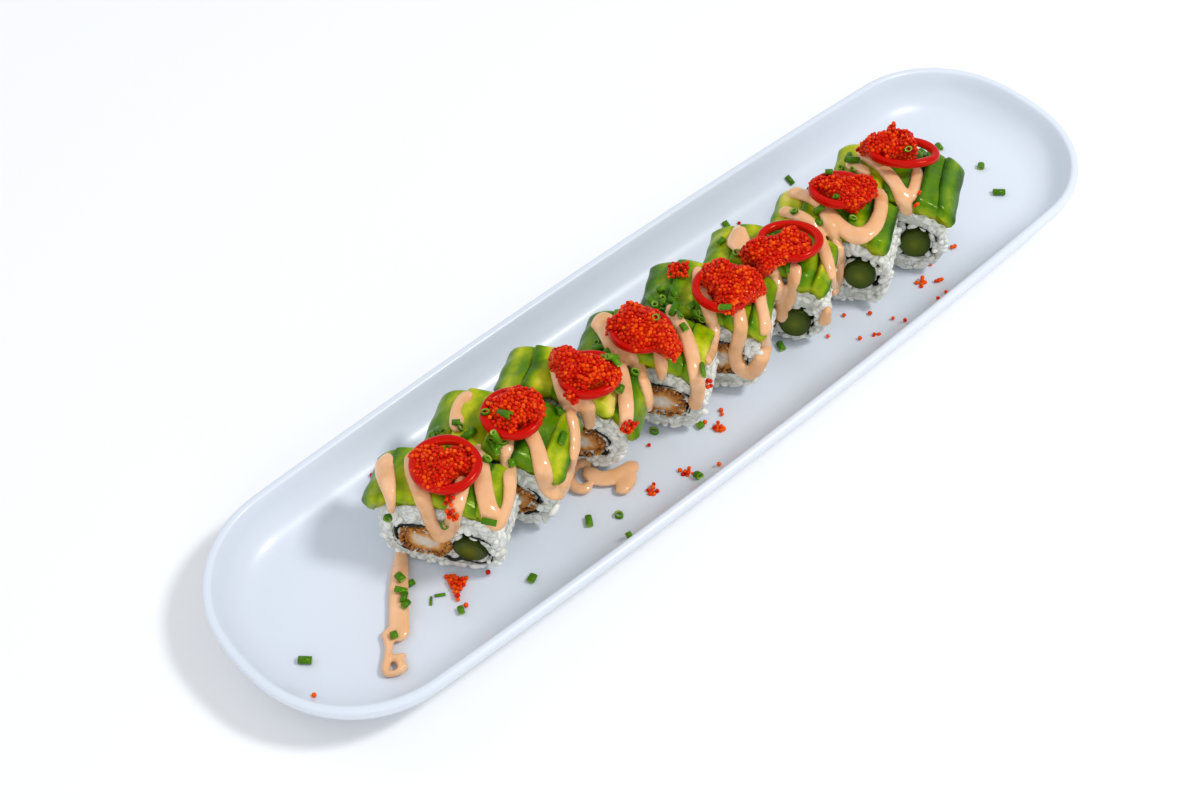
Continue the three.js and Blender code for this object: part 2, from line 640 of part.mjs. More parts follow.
// The part of a solid that is clear of another one, which is fattened by the gap
function clearOf(solid, other) {
  const shifts = [[0, 0, 0], [0, PART_GAP, 0], [0, 0, PART_GAP]];
  return shifts.reduce((rest, shift) => noted(rest.subtract(noted(other.translate(shift)))), solid);
}

addPart(uramaki, "plate", plate(), "plate");

let neighbour = null;
SLICES.forEach((slice, order) => {
  const number = order + 1;
  const group = seat(slice);
  uramaki.add(group);
  let toppings = topping(slice);
  if (neighbour) {
    const here = group.matrix.clone().invert().multiply(neighbour.matrix);
    toppings = clearOf(toppings, noted(neighbour.toppings.transform(here.elements)));
  }
  addPart(group, `rice_${number}`, rice(number, slice), "rice");
  addPart(group, `nori_${number}`, nori(slice), "nori");
  addPart(group, `shrimp_${number}`, shrimp(number, slice), "shrimp");
  addPart(group, `asparagus_${number}`, asparagus(slice), "asparagus");
  addPart(group, `avocado_${number}`, geometryOf(toppings), "avocado");
  addPart(group, `chili_${number}`, chili(slice.ring), "chili");
  addPart(group, `roe_${number}`, geometryOf(roe(slice, number)), "roe");
  freeAllBut(toppings);
  neighbour = { matrix: group.matrix.clone(), toppings };
});

addPart(uramaki, "sauce_trail", pool(TRAIL), "sauce");
addPart(uramaki, "sauce_puddle", pool(PUDDLE), "sauce");

export default uramaki;
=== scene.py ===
# Uramaki roll on its plate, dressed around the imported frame.
# Shapes are worked out in millimetres and turned into metres when a mesh is made.
import itertools
import json

import bmesh
import bpy
import numpy as np
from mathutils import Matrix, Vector
from mathutils.bvhtree import BVHTree

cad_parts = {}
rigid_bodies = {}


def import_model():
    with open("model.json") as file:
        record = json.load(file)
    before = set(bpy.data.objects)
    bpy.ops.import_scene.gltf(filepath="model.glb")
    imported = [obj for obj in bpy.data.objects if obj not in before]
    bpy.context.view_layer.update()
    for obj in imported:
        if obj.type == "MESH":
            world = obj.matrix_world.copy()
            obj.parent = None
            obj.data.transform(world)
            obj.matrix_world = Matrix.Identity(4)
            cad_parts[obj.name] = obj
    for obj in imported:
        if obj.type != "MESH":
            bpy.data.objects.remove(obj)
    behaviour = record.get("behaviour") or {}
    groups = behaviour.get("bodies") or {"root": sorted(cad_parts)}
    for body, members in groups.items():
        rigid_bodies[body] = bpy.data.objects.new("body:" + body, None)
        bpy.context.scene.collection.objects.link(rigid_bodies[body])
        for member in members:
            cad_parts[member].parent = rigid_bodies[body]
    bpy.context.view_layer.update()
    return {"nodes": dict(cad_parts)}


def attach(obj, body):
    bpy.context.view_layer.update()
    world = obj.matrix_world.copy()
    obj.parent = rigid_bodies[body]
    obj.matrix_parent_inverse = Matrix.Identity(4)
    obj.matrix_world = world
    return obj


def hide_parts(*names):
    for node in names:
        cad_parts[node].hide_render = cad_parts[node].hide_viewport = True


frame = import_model()
MM = 0.001

# The plate
PLATE_LENGTH = 360
PLATE_WIDTH = 97
SIDE_RADIUS = 3420
CORNER_RADIUS = 40.5
END_RADIUS = 78
RIM_HEIGHT = 20
PLATE_FLOOR = 6.5
PLATE_SECTION = [
    (22, 1.4), (21, 0), (17, 0), (14.5, 1.6), (9, 4.4), (4.2, 9), (1.2, 14.5), (0, 18.8),
    (0.9, RIM_HEIGHT), (2.4, RIM_HEIGHT), (3.4, 18.6), (6, 13.2), (10, 9.2), (15, 7.1),
    (21, PLATE_FLOOR),
]

# One slice of the roll
ROLL = {"u": 0, "z": 15, "wide": 20, "high": 15, "square": 3}
ROLL_HEIGHT = 30
TOPPING_LIFT = 5
REST_GAP = 0.3
FRONT = -9.75
BACK = 9.75
SLEEVE = {"u": 1, "z": 13.2, "wide": 16, "high": 8.2, "square": 3}
SHRIMP = {"u": -4.8, "z": 13.2, "wide": 8, "high": 6.5, "square": 2.2}
ASPARAGUS = {"u": 9.3, "z": 13.1, "wide": 5.5, "square": 2.05}
NORI_GAP = 0.3
NORI_THICK = 0.4
NORI_RAGGED = 0.7

# How far the nori's edge lies behind the cut face, and from which slice on it lies deeper
NORI_BEHIND = (0.1, 1.1)
LAST_NORI_SHOWN = 5

# Rice: points round the sleeve, how deep its rounded edges are, and half sizes of a grain
RICE_AROUND = 120
RICE_SINK = 1.1
RICE_EDGE = 0.9
GRAIN_COUNT = 640
GRAIN_LONG = 2.3
GRAIN_WIDE = 1.28
GRAIN_BLUNT = (0.72, 0.9, 0.9)
COVERED_HIGH = 28.3
COVERED_WIDE = 15
PACKED_COUNT = 170

# Fillings: how far their cut faces are drawn in at the rim, and the lumps of fried crust
FACE_INSET = 0.5
CRUST_COUNT = 340
CRUST_ROOM = 1.2

# Avocado slices: thickness at the thick edge, how much thinner the other one is, the least
# thickness and how high over the rice their undersides lie
FLAP_ACROSS = 21
FLAP_DEEP = 26
FLAP_THICK = 5.8
FLAP_THINS = 1.7
FLAP_LEAST = 1.4
FLAP_UNDER = 0.8
UNDER_TONE = 0.3

# Sauce, chilli, roe and chives
SAUCE_THICK = 3
SAUCE_SPREAD = 1.12
HIGH_SAUCE = 13
LOW_SAUCE = 0
SAUCE_VOXEL = 0.0005
POOL_THICK = 2.7
POOL_LIFT = 0.35
CHILI_WALL = 2.8
CHILI_TALL = 3.2
CHILI_HEIGHT = 9.4
RING_TURN = np.radians(14)
EGG_RADIUS = 0.68
EGG_SHADE = 0.5
# Tone of the core under a heap of roe, darker than the eggs: painted shade in the gaps between them
CORE_PAINTED_SHADE = 0.3
LOOSE_RADIUS = 0.75
# Eggs lying singly on the plate get a lighter, more orange tone than heaped eggs: painted light
LOOSE_PAINTED_LIGHT = 0.8
CHIVE_LENGTHS = {"ring": (1.1, 1.4), "wedge": (1.9, 2.8), "tube": (3.2, 5), "shred": (2.8, 3.6)}
CHIVE_WIDENS = {"ring": 1.25, "wedge": 1.05, "tube": 1, "shred": 0.42}
CHIVE_SIDES = 18

# Looks: the tint of a green and of a red thing's shine, the coat's roughness and how far
# light goes into a thing, in metres
GREEN_SHINE = (0.9, 1, 0.25, 1)
RED_SHINE = (1, 0.4, 0.2, 1)
COAT_ROUGHNESS = 0.06
LIGHT_DEPTH = 0.0015

# Studio, in metres: place, aim, size, power and colour of each light
LIGHTS = {
    "key": ((0.5, -0.58, 1.15), (-0.05, 0, 0.02), 0.22, 9.2, (1, 1, 1)),
    "back": ((-0.35, 0.9, 0.75), (0, 0, 0.02), 0.9, 2, (0.95, 0.97, 1)),
    "fill": ((-0.95, -0.75, 0.55), (-0.05, 0, 0.02), 1.2, 4.1, (1, 1, 1)),
}
SKY_COLOUR = (0.93, 0.96, 1, 1)
SKY_STRENGTH = 0.66
FLOOR_HALF = 2.5
FLOOR_COLOUR = (0.9, 0.9, 0.9, 1)

# The camera: how far from which point, from which side, and its lens and sensor. The
# photograph's size in pixels goes with it.
CAMERA_LENS = 53.76
CAMERA_SENSOR = 36
CAMERA_AIM = Vector((-36.31, 0.51, 20))
CAMERA_AWAY = 579.9
CAMERA_AZIMUTH = np.radians(-42.52)
CAMERA_ELEVATION = np.radians(51.26)
PHOTO_WIDE = 1200
PHOTO_HIGH = 800

# The slices, near end first. x, y and turn place a slice. Places on it are [a, s]: a runs
# over its top from the middle to the right, s from its front edge to its back. "side" is
# which way round its filling lies, "lift" how high, "out" how far the asparagus stands out
# and "extra" how much thicker it was cut than the others. A flap is [from, to, overhang,
# tone at its left, tone at its right], where tone 0 is pale yellow flesh and 1 the dark
# green under the skin.
SLICES = [
    {
        "x": -101.5, "y": -2, "turn": -56, "asparagus": 4.8, "out": 0.6,
        "side": 1, "lift": -1, "extra": 0,
        "flaps": [[-30, -17, 0.5, 0.95, 0.55], [-18.5, -6, 0.9, 0.9, 0.3], [-8, 4, 0.4, 0.35, 0.6],
                  [2.5, 14, 1.0, 0.9, 0.85], [12.5, 23, 0.7, 0.35, 0.6]],
        "ring": [0.4, 10.2, 10.6, 10.6, 0],
    },
    {
        "x": -77.5, "y": 0, "turn": -57, "asparagus": 5.6, "out": 0.1,
        "side": -1, "lift": 0, "extra": 5,
        "flaps": [[-27, -14, 0.4, 0.8, 0.4], [-15.5, -3, 0.6, 0.3, 0.35], [-4.5, 7, 0.5, 0.35, 0.7],
                  [5.5, 17, 0.9, 0.95, 0.75], [15.5, 27, 0.6, 0.35, 0.9]],
        "ring": [2.7, 12.4, 9.8, 9.8, 0],
    },
    {
        "x": -46.5, "y": 2, "turn": -58, "asparagus": 5.6, "out": 0.1,
        "side": -1, "lift": 0, "extra": 0,
        "flaps": [[-27, -14, 0.4, 0.85, 0.45], [-15.5, -4, 0.5, 0.75, 0.3], [-5.5, 7, 0.5, 0.8, 0.7],
                  [5.5, 17.5, 1.4, 0.3, 0.05], [16, 34, 0.8, 0.9, 0.65]],
        "ring": [6.6, 6.2, 9.9, 9.6, 0],
    },
    {
        "x": -17, "y": -4, "turn": -56, "asparagus": 5.6, "out": 0.1,
        "side": -1, "lift": 0.5, "extra": 0,
        "flaps": [[-27, -14, 0.4, 0.9, 0.7], [-15.5, -4, 0.5, 0.8, 0.5], [-5.5, 6, 1.2, 0.6, 0.8],
                  [4.5, 13, 1.8, 0.9, 0.75], [11.5, 20, 2.6, 0.5, 0.35]],
        "ring": [-3.8, 6.4, 10.2, 9.5, 0],
    },
    {
        "x": 9, "y": -4.3, "turn": -57, "asparagus": 5.6, "out": 0.1,
        "side": -1, "lift": 2, "extra": 4.5,
        "flaps": [[-27, -14, 0.4, 1, 0.75], [-15.5, -4, 0.6, 0.9, 0.35], [-5.5, 6, 0.6, 0.85, 0.6],
                  [4.5, 14.5, 0.9, 0.8, 0.4], [13, 22, 0.9, 0.9, 0.6]],
        "ring": [3.2, 8.8, 10.2, 10.2, 0],
    },
    {
        "x": 39.5, "y": -4, "turn": -56, "asparagus": 6.1, "out": 1,
        "side": 1, "lift": -3, "extra": 0,
        "flaps": [[-27, -14, 0.4, 0.8, 0.4], [-15.5, -4, 0.5, 0.6, 0.3], [-5.5, 9.5, 0.5, 0.7, 0.5],
                  [8, 15.5, 3.2, 0.85, 0.55], [14, 21.5, 3, 0.35, 0.8]],
        "ring": [3.5, 8.6, 11, 9.2, 0],
    },
    {
        "x": 67.5, "y": -7.5, "turn": -57, "asparagus": 6.1, "out": 1,
        "side": 1, "lift": 3, "extra": 1.2,
        "flaps": [[-27, -14, 0.4, 0.7, 0.2], [-15.5, -4, 0.5, 0.75, 0.35], [-5.5, 4, 0.4, 0.5, 0.7],
                  [2.5, 12, 0.4, 0.8, 0.85], [10.5, 19.5, 1.8, 0.75, 1.1]],
        "ring": [-2, 14.2, 11.4, 8.9, 4],
    },
    {
        "x": 94, "y": -9.5, "turn": -58, "asparagus": 6.1, "out": 1,
        "side": 1, "lift": 1.5, "extra": 7,
        "flaps": [[-27, -14, 0.4, 0.7, 0.2], [-15.5, -4, 0.5, 0.6, 0.3], [-5.5, 7, 0.5, 0.8, 0.85],
                  [6, 16, 1.6, 0.95, 0.8], [14, 25, 1.4, 0.85, 1.15]],
        "ring": [-0.7, 15.6, 12.4, 8.4, 8],
    },
]

# Where the photograph shows loose roe and chives on the plate, as pixels of it
LOOSE_ROE = {
    "one": [(372, 475), (466, 605), (488, 572), (314, 695), (649, 445), (680, 470), (719, 464),
            (721, 410), (722, 414), (705, 422), (828, 336), (860, 338), (844, 315), (870, 313),
            (893, 318), (905, 320), (952, 247), (955, 246), (931, 264), (936, 281), (939, 280),
            (942, 279), (946, 292), (938, 298)],
    "few": [(652, 491), (688, 474), (719, 428), (877, 338), (921, 283)],
}
LOOSE_PILE = [(446, 576), (467, 576), (458, 600)]
LOOSE_CHIVES = [
    (305, 660, 0.8, "tube"), (532, 578, 1.4, "wedge"), (461, 610, 0.2, "wedge"), (440, 595, 0.9, "shred"),
    (431, 601, 1.6, "shred"), (589, 521, 0.1, "tube"), (619, 515, 0.5, "ring"), (629, 535, 0.9, "wedge"),
    (400, 577, 0.4, "wedge"), (409, 584, 1.1, "tube"), (401, 590, 0.7, "tube"), (404, 597, 1.5, "tube"),
    (406, 604, 1.3, "wedge"), (394, 635, 0.2, "wedge"), (698, 475, 0.3, "wedge"), (654, 431, 0.6, "ring"),
    (700, 425, 1.1, "wedge"), (781, 346, 0.2, "tube"), (981, 166, 1.5, "wedge"), (999, 192, 0.8, "tube"),
]

# Strands of sauce lying on the plate, as pixels of the photograph and a width in millimetres
TRAIL = [
    [(401, 545, 1.6), (401, 553, 3.6), (401, 564, 5.2), (399, 585, 6.2), (399, 605, 6.5), (399, 622, 6.6),
     (399, 632, 6.8), (398, 642, 6.6)],
    [(381, 635, 6.2), (386, 635, 6.6), (392, 635, 6.8), (397, 634, 6.6)],
    [(388, 638, 4.4), (389, 646, 2.8), (388, 656, 2.6), (386, 667, 2.8), (386, 673, 2.2), (393, 674, 1.6),
     (401, 670, 2.6), (401, 663, 2.8), (396, 658, 2.6), (391, 660, 2.4)],
    [(397, 658, 2.6), (403, 656, 2.2), (406, 654, 1.4)],
    [(400, 668, 2.4), (405, 667, 2.2), (408, 665, 1.4)],
]
PUDDLE = [
    [(592, 464, 3), (582, 463, 3.2), (573, 469, 3.4), (570, 478, 3.6), (575, 487, 3.8), (584, 489, 3.8),
     (591, 483, 4)],
    [(584, 468, 4.4), (590, 473, 5.6), (598, 478, 6), (609, 478, 6.2), (620, 474, 6), (630, 468, 5.6),
     (637, 462, 5)],
    [(630, 470, 5.4), (628, 480, 5.6), (622, 488, 5.6), (616, 492, 5)],
]

# Lines of drizzled sauce, as pixels of the photograph and a width in millimetres
DRIZZLE = {
    "one_left": [(401, 440, 4), (390, 452, 5.6), (385, 468, 6.2), (388, 484, 5), (391, 499, 3.2),
                 (392, 513, 1.8)],
    "one_middle": [(420, 437, 4.5), (414, 452, 5), (413, 474, 5), (421, 493, 5), (427, 510, 5),
                   (435, 528, 5),
                   (443, 536, 4.6), (451, 527, 4.8), (455, 510, 4.8), (461, 490, 4.6), (463, 474, 4.2)],
    "one_right": [(478, 440, 4), (481, 462, 4.6), (483, 485, 5.4), (487, 505, 5.4), (495, 522, 5.6),
                  (503, 514, 5),
                  (508, 495, 4.6), (509, 472, 4.4), (506, 450, 4.2), (510, 430, 4)],
    "two_left": [(474, 392, 3.6), (463, 402, 4.6), (457, 418, 4.6), (458, 436, 4)],
    "two_loop": [(522, 405, 4.2), (528, 428, 4.6), (536, 446, 4.8), (541, 464, 5), (547, 482, 5.8),
                 (555, 492, 6),
                 (564, 482, 5.6), (571, 462, 5), (574, 440, 4.4), (571, 418, 4), (565, 400, 4),
                 (558, 380, 3.8),
                 (554, 362, 3.6)],
    "three_drip": [(566, 398, 4), (576, 402, 5), (585, 402, 5.4), (589, 414, 4.6), (589, 432, 2.2)],
    "four_left": [(594, 306, 7.6), (600, 317, 8), (607, 332, 6), (612, 348, 4.6), (619, 364, 4.4),
                  (624, 386, 4.6), (626, 410, 4.6), (625, 436, 4.2)],
    "four_second": [(608, 330, 4.2), (622, 345, 4.4), (634, 360, 4.6), (643, 382, 4.6), (648, 404, 4.6),
                    (647, 424, 4.2), (643, 440, 3.8), (640, 452, 3.8), (637, 461, 5)],
    "four_middle": [(655, 335, 4), (659, 350, 4.2), (662, 366, 4), (662, 380, 2.6)],
    "four_right": [(668, 302, 3.8), (675, 318, 4.4), (684, 332, 4.6), (690, 350, 4.8), (695, 372, 4.8),
                   (698, 390, 4.6), (696, 402, 4.6), (692, 409, 3.8)],
    "five_left": [(702, 248, 4), (699, 262, 3.6), (698, 280, 4.2), (704, 298, 4.4), (710, 316, 4.2),
                  (714, 332, 4), (711, 350, 3.8), (704, 364, 3.4)],
    "five_loop": [(736, 300, 4.4), (739, 316, 4.4), (741, 330, 4.6), (737, 344, 4.4), (735, 356, 4.6),
                  (741, 369, 5), (751, 372, 5.2), (760, 361, 5), (765, 344, 4.8), (764, 322, 4.6),
                  (760, 304, 4.4), (758, 288, 4.2)],
    "five_right": [(768, 262, 4), (774, 276, 4.4), (778, 292, 4.6), (782, 308, 4.6), (780, 328, 4.4),
                   (774, 344, 3.8), (769, 357, 3)],
    "six_left": [(741, 225, 7.4), (737, 232, 7.8), (738, 241, 7.4), (745, 250, 6.6), (754, 258, 5)],
    "six_top": [(778, 211, 4), (790, 214, 4.6), (803, 219, 4.8), (814, 230, 4.6), (822, 246, 4.2),
                (827, 262, 4.4),
                (832, 280, 4.2), (834, 294, 3.8)],
    "six_short": [(790, 262, 4.6), (795, 272, 4.8), (793, 288, 4.4), (788, 306, 3.4), (786, 312, 2.6)],
    "six_outer": [(812, 195, 4), (821, 206, 4), (827, 220, 3.8), (834, 236, 4), (838, 254, 4.2),
                  (839, 270, 4),
                  (835, 286, 3.8), (831, 296, 3.4)],
    "six_foot": [(828, 304, 2.6), (825, 316, 4), (824, 327, 5)],
    "seven_loop": [(806, 182, 4), (794, 184, 4.6), (788, 190, 4.6), (797, 194, 4.6), (810, 198, 4.8),
                   (822, 207, 4.8), (834, 220, 4.8), (847, 232, 5.2), (860, 236, 5.6), (872, 230, 5.2),
                   (879, 216, 4.8), (881, 200, 4.6), (877, 186, 4.4)],
    "eight_left": [(846, 163, 3.8), (852, 166, 4.2), (862, 171, 4), (872, 176, 3.6)],
    "eight_main": [(858, 152, 4), (870, 160, 4.4), (882, 169, 4.6), (892, 180, 4.8), (900, 193, 5),
                   (905, 205, 5), (910, 217, 4.6)],
    "eight_right": [(918, 166, 4), (916, 178, 4), (913, 192, 4), (909, 204, 4)],
}

# Outlines of the heaps of roe as pixels of the photograph, and how high each one is in the
# middle. HEAP_SHOWS is how many pixels of the photograph's height a millimetre of height adds
# behind a heap.
HEAP_AROUND = 72
HEAP_SHOWS = 1
HEAPS = {
    1: (1.8, [(412, 452), (422, 444), (437, 442), (444, 450), (457, 445), (470, 450), (475, 462),
              (470, 473),
              (460, 473), (452, 481), (447, 487), (435, 491), (424, 486), (414, 472)]),
    2: (5.0, [(487, 410), (490, 400), (499, 395), (505, 386), (520, 387), (537, 385), (543, 394),
              (543, 412),
              (541, 425), (530, 425), (522, 428), (510, 433), (497, 431), (488, 422)]),
    3: (4.8, [(551, 346), (562, 342), (575, 347), (581, 354), (600, 357), (613, 365), (619, 376),
              (615, 386),
              (605, 388), (590, 391), (575, 389), (561, 383), (553, 366)]),
    4: (5.0, [(606, 323), (617, 312), (620, 300), (632, 297), (641, 306), (657, 312), (666, 325),
              (678, 335),
              (680, 346), (673, 361), (662, 356), (652, 348), (637, 350), (622, 343), (614, 333)]),
    5: (5.0, [(701, 263), (710, 259), (722, 260), (730, 269), (736, 267), (750, 265), (761, 272),
              (768, 285),
              (765, 296), (751, 303), (741, 310), (728, 311), (717, 303), (711, 290), (704, 278)]),
    6: (3.6, [(742, 250), (747, 241), (765, 238), (782, 236), (786, 226), (800, 223), (812, 232),
              (815, 245),
              (806, 255), (790, 256), (780, 264), (768, 276), (761, 275), (756, 268), (745, 260)]),
    7: (3.4, [(809, 183), (815, 175), (830, 175), (845, 177), (855, 181), (865, 175), (875, 177),
              (880, 187),
              (873, 196), (865, 206), (855, 210), (845, 206), (832, 197), (819, 191)]),
    8: (4.6, [(862, 146), (865, 138), (879, 136), (886, 131), (888, 121), (893, 121), (896, 130),
              (912, 135),
              (916, 145), (920, 152), (910, 158), (897, 160), (885, 160), (872, 155)]),
}

# How far the heaps sink into their rings, and the rings of points of the core under their
# eggs, each as a share of the way out and how far it lies below the eggs
HEAP_SINK = 0.9
CORE_RINGS = [(0.9, 3.2), (0.95, 0.7), (0.85, 0.5), (0.7, 0.45), (0.5, 0.45), (0.3, 0.45), (0.12, 0.45)]

# The heap that rises to a tip at its back, and how high the tip is
TIPPED_HEAP = 8
TIP_HEIGHT = 3.6

# Small lumps of roe: a pixel of the photograph, how many eggs and how wide the lump is
SMALL_HEAPS = {
    "three_under": (572, 396, 12, 2.2), "three_side": (628, 425, 14, 2.4), "five_lobe": (678, 271, 26, 3.4),
    "one_upper": (450, 502, 5, 1.5), "one_lower": (452, 514, 8, 1.8), "eight_edge": (918, 194, 2, 0.8),
    "eight_drop": (916, 204, 2, 0.8), "six_back": (740, 224, 1, 0.5), "four_foot": (706, 383, 5, 1.6),
}

# Chives on the slices, as pixels of the photograph and a turn
CHIVES = {
    1: [(440, 430, 0.3), (456, 422, 0.8), (461, 427, 0.2), (469, 434, 1.2), (432, 435, 0.1),
        (491, 441, 0.5), (496, 437, 1.3), (499, 446, 0.1), (504, 442, 0.9), (495, 448, 1.8),
        (512, 463, 0.2), (487, 459, 1.2), (489, 522, 0.4), (444, 526, 0.9), (388, 518, 0.6)],
    2: [(563, 438, 1.3), (560, 410, 0.3), (485, 412, 1.0), (505, 414, 0.5), (561, 409, 0.6)],
    3: [(615, 360, 0.4), (620, 389, 1.4), (635, 372, 0.8), (600, 347, 0.9), (607, 352, 0.2),
        (597, 343, 1.7), (612, 357, 1.1), (604, 358, 0.5)],
    4: [(650, 299, 0.2), (664, 302, 1.0), (662, 311, 0.5), (674, 309, 1.4), (684, 327, 0.3),
        (656, 317, 0.7), (703, 370, 1.2), (672, 300, 0.6), (655, 305, 1.8), (680, 314, 0.1)],
    5: [(674, 291, 0.2), (660, 289, 0.9), (663, 298, 0.4), (693, 304, 1.2), (696, 313, 0.7),
        (702, 319, 0.1), (725, 307, 1.0)],
    6: [(727, 226, 0.3), (721, 241, 1.2), (737, 252, 0.7), (787, 268, 0.1), (771, 234, 0.9)],
    7: [(790, 180, 0.4), (829, 172, 0.8), (841, 168, 0.1), (852, 171, 1.1), (837, 197, 1.6),
        (794, 211, 0.3), (819, 209, 0.9), (819, 222, 0.5), (853, 218, 0.7)],
    8: [(853, 160, 0.6), (939, 147, 0.2), (908, 149, 1.0), (848, 157, 1.4), (922, 152, 0.3)],
}


def camera_axes():
    """Place of the camera and its forward, right and up directions."""
    level = np.cos(CAMERA_ELEVATION)
    forward = -Vector((np.sin(CAMERA_AZIMUTH) * level, -np.cos(CAMERA_AZIMUTH) * level,
                       np.sin(CAMERA_ELEVATION)))
    right = forward.cross(Vector((0, 0, 1))).normalized()
    return CAMERA_AIM - forward * CAMERA_AWAY, forward, right, right.cross(forward)


def sight(x, y):
    """Camera place and direction through a pixel of the photograph."""
    place, forward, right, up = camera_axes()
    reach = CAMERA_LENS / CAMERA_SENSOR * PHOTO_WIDE
    return place, (forward * reach + right * (x - PHOTO_WIDE / 2) + up * (PHOTO_HIGH / 2 - y)).normalized()


def on_plate(x, y, height):
    """Where a pixel's line of sight meets a height over the plate's floor, in millimetres."""
    place, line = sight(x, y)
    return np.array(place + line * ((PLATE_FLOOR + height - place.z) / line.z))


def met(x, y, tree):
    """What a pixel's line of sight meets first: place, the way it faces, and the line."""
    place, line = sight(x, y)
    hit, normal, face, away = tree.ray_cast(place, line)
    return hit, -normal if normal.dot(line) > 0 else normal, line


def rested(x, y, lift, tree):
    """Where on a line of sight a thing rests on what the line meets, and which way that faces."""
    hit, normal, line = met(x, y, tree)
    return hit - line * (lift / max(-line.dot(normal), 0.4)), normal


def surface_tree(*starts):
    """The surfaces of the pieces with those first words, in millimetres."""
    points = []
    faces = []
    for piece in bpy.data.objects:
        if piece.name in frame["nodes"] or not piece.name.startswith(starts):
            continue
        start = len(points)
        points.extend(vert.co / MM for vert in piece.data.vertices)
        faces.extend(tuple(k + start for k in poly.vertices) for poly in piece.data.polygons)
    return BVHTree.FromPolygons(points, faces)


def add_piece(name, parts, material, replaced=None):
    """A piece made of parts in millimetres. It rides the one body and holds its material.

    Blender puts a number behind the name of a material that the frame has too.
    """
    points, faces, tones = merged(parts)
    mesh = bpy.data.meshes.new(name)
    mesh.from_pydata((points * MM).tolist(), [], faces)
    mesh.validate()
    mesh.update()
    mesh.shade_smooth()
    mesh.materials.append(material)
    mesh.attributes.new("tone", "FLOAT", "POINT").data.foreach_set("value", tones.astype(np.float32))
    piece = bpy.data.objects.new(name, mesh)
    bpy.context.scene.collection.objects.link(piece)
    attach(piece, "root")
    if replaced:
        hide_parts(replaced)
    return piece


def add_to_slice(slice_, node, word, parts, material):
    """A piece made of parts in the slice's own frame, in place of the slice's CAD node."""
    number = SLICES.index(slice_) + 1
    parts = [(to_plate(slice_, points), faces, tones) for points, faces, tones in parts]
    add_piece(f"{node}_{number}_{word}", parts, material, f"{node}_{number}")


def merged(parts):
    """Several parts (points, faces, tone of the points) put together as one."""
    points = []
    faces = []
    tones = []
    start = 0
    for some, those, tone in parts:
        points.append(some)
        faces.extend(tuple(k + start for k in face) for face in those)
        tones.append(np.broadcast_to(tone, len(some)))
        start += len(some)
    return np.concatenate(points), faces, np.concatenate(tones)


def skin(loops, joined=False):
    """Points and faces of loops skinned one after another, closed at the ends unless joined."""
    count = len(loops[0])
    points = np.array([point for loop in loops for point in loop], float)
    faces = []
    for band in range(len(loops) if joined else len(loops) - 1):
        low = band * count
        high = ((band + 1) % len(loops)) * count
        for k in range(count):
            after = (k + 1) % count
            faces.append((low + k, low + after, high + after, high + k))
    if not joined:
        faces.append(tuple(range(count))[::-1])
        faces.append(tuple(range(len(points) - count, len(points))))
    volume = 0.0
    for face in faces:
        for k in range(1, len(face) - 1):
            volume += np.dot(points[face[0]], np.cross(points[face[k]], points[face[k + 1]]))
    if volume < 0:
        faces = [face[::-1] for face in faces]
    return points, faces


def ball(subdivisions):
    """Points and faces of a unit ball."""
    work = bmesh.new()
    bmesh.ops.create_icosphere(work, subdivisions=subdivisions, radius=1)
    points = np.array([vert.co[:] for vert in work.verts])
    faces = [tuple(vert.index for vert in face.verts) for face in work.faces]
    work.free()
    return points, faces


BALL = ball(2)
CRAG = ball(1)


def walked(points):
    """How far along a run of points each one lies."""
    return np.r_[0, np.cumsum(np.linalg.norm(np.diff(points, axis=0), axis=1))]


def smooth_run(points, steps):
    """A smooth curve through rows of numbers, with several steps from row to row."""
    rows = np.asarray(points, float)
    padded = np.vstack([2 * rows[0] - rows[1], rows, 2 * rows[-1] - rows[-2]])
    out = []
    for k in range(len(rows) - 1):
        a, b, c, d = padded[k:k + 4]
        for t in np.arange(steps) / steps:
            out.append(0.5 * (2 * b + (c - a) * t + (2 * a - 5 * b + 4 * c - d) * t ** 2
                              + (3 * b - a - 3 * c + d) * t ** 3))
    out.append(rows[-1])
    return np.array(out)


def smooth_noise(random, count, knots):
    """A repeatable wavy run of numbers from -1 to 1 that closes on itself."""
    values = random.uniform(-1, 1, knots)
    places = np.arange(count) / count * knots
    low = np.floor(places).astype(int)
    share = places - low
    share = share * share * (3 - 2 * share)
    return values[low % knots] * (1 - share) + values[(low + 1) % knots] * share


def square_point(angle, wide, high, square):
    """Points of a rounded square outline at angles from its top."""
    power = 2 / square
    return np.stack([
        np.sign(np.sin(angle)) * np.abs(np.sin(angle)) ** power * wide,
        np.sign(np.cos(angle)) * np.abs(np.cos(angle)) ** power * high,
    ], -1)


def square_loop(wide, high, square, count):
    """Evenly spaced points along a rounded square outline."""
    fine = square_point(np.linspace(0, 2 * np.pi, 2401), wide, high, square)
    along = walked(fine)
    wanted = np.arange(count) / count * along[-1]
    return np.stack([np.interp(wanted, along, fine[:, k]) for k in (0, 1)], -1)


def shelf(spec, inset, v, count, share=1, wave=0):
    """Loop of a rounded square at depth v in the slice's frame, drawn in to a share of it."""
    outline = square_loop(spec["wide"] - inset, spec["high"] - inset, spec["square"], count)
    outline = outline * (share * (1 + wave / np.linalg.norm(outline, axis=1)))[:, None]
    return np.column_stack([spec["u"] + outline[:, 0], np.full(count, float(v)), spec["z"] + outline[:, 1]])


OVER_CURVE = square_point(np.linspace(-np.pi, np.pi, 4801), ROLL["wide"] + TOPPING_LIFT,
                          ROLL["high"] + TOPPING_LIFT, ROLL["square"])
OVER_WALK = walked(OVER_CURVE)


def over_point(a):
    return np.array([np.interp(OVER_WALK[-1] / 2 + a, OVER_WALK, OVER_CURVE[:, k]) for k in (0, 1)])


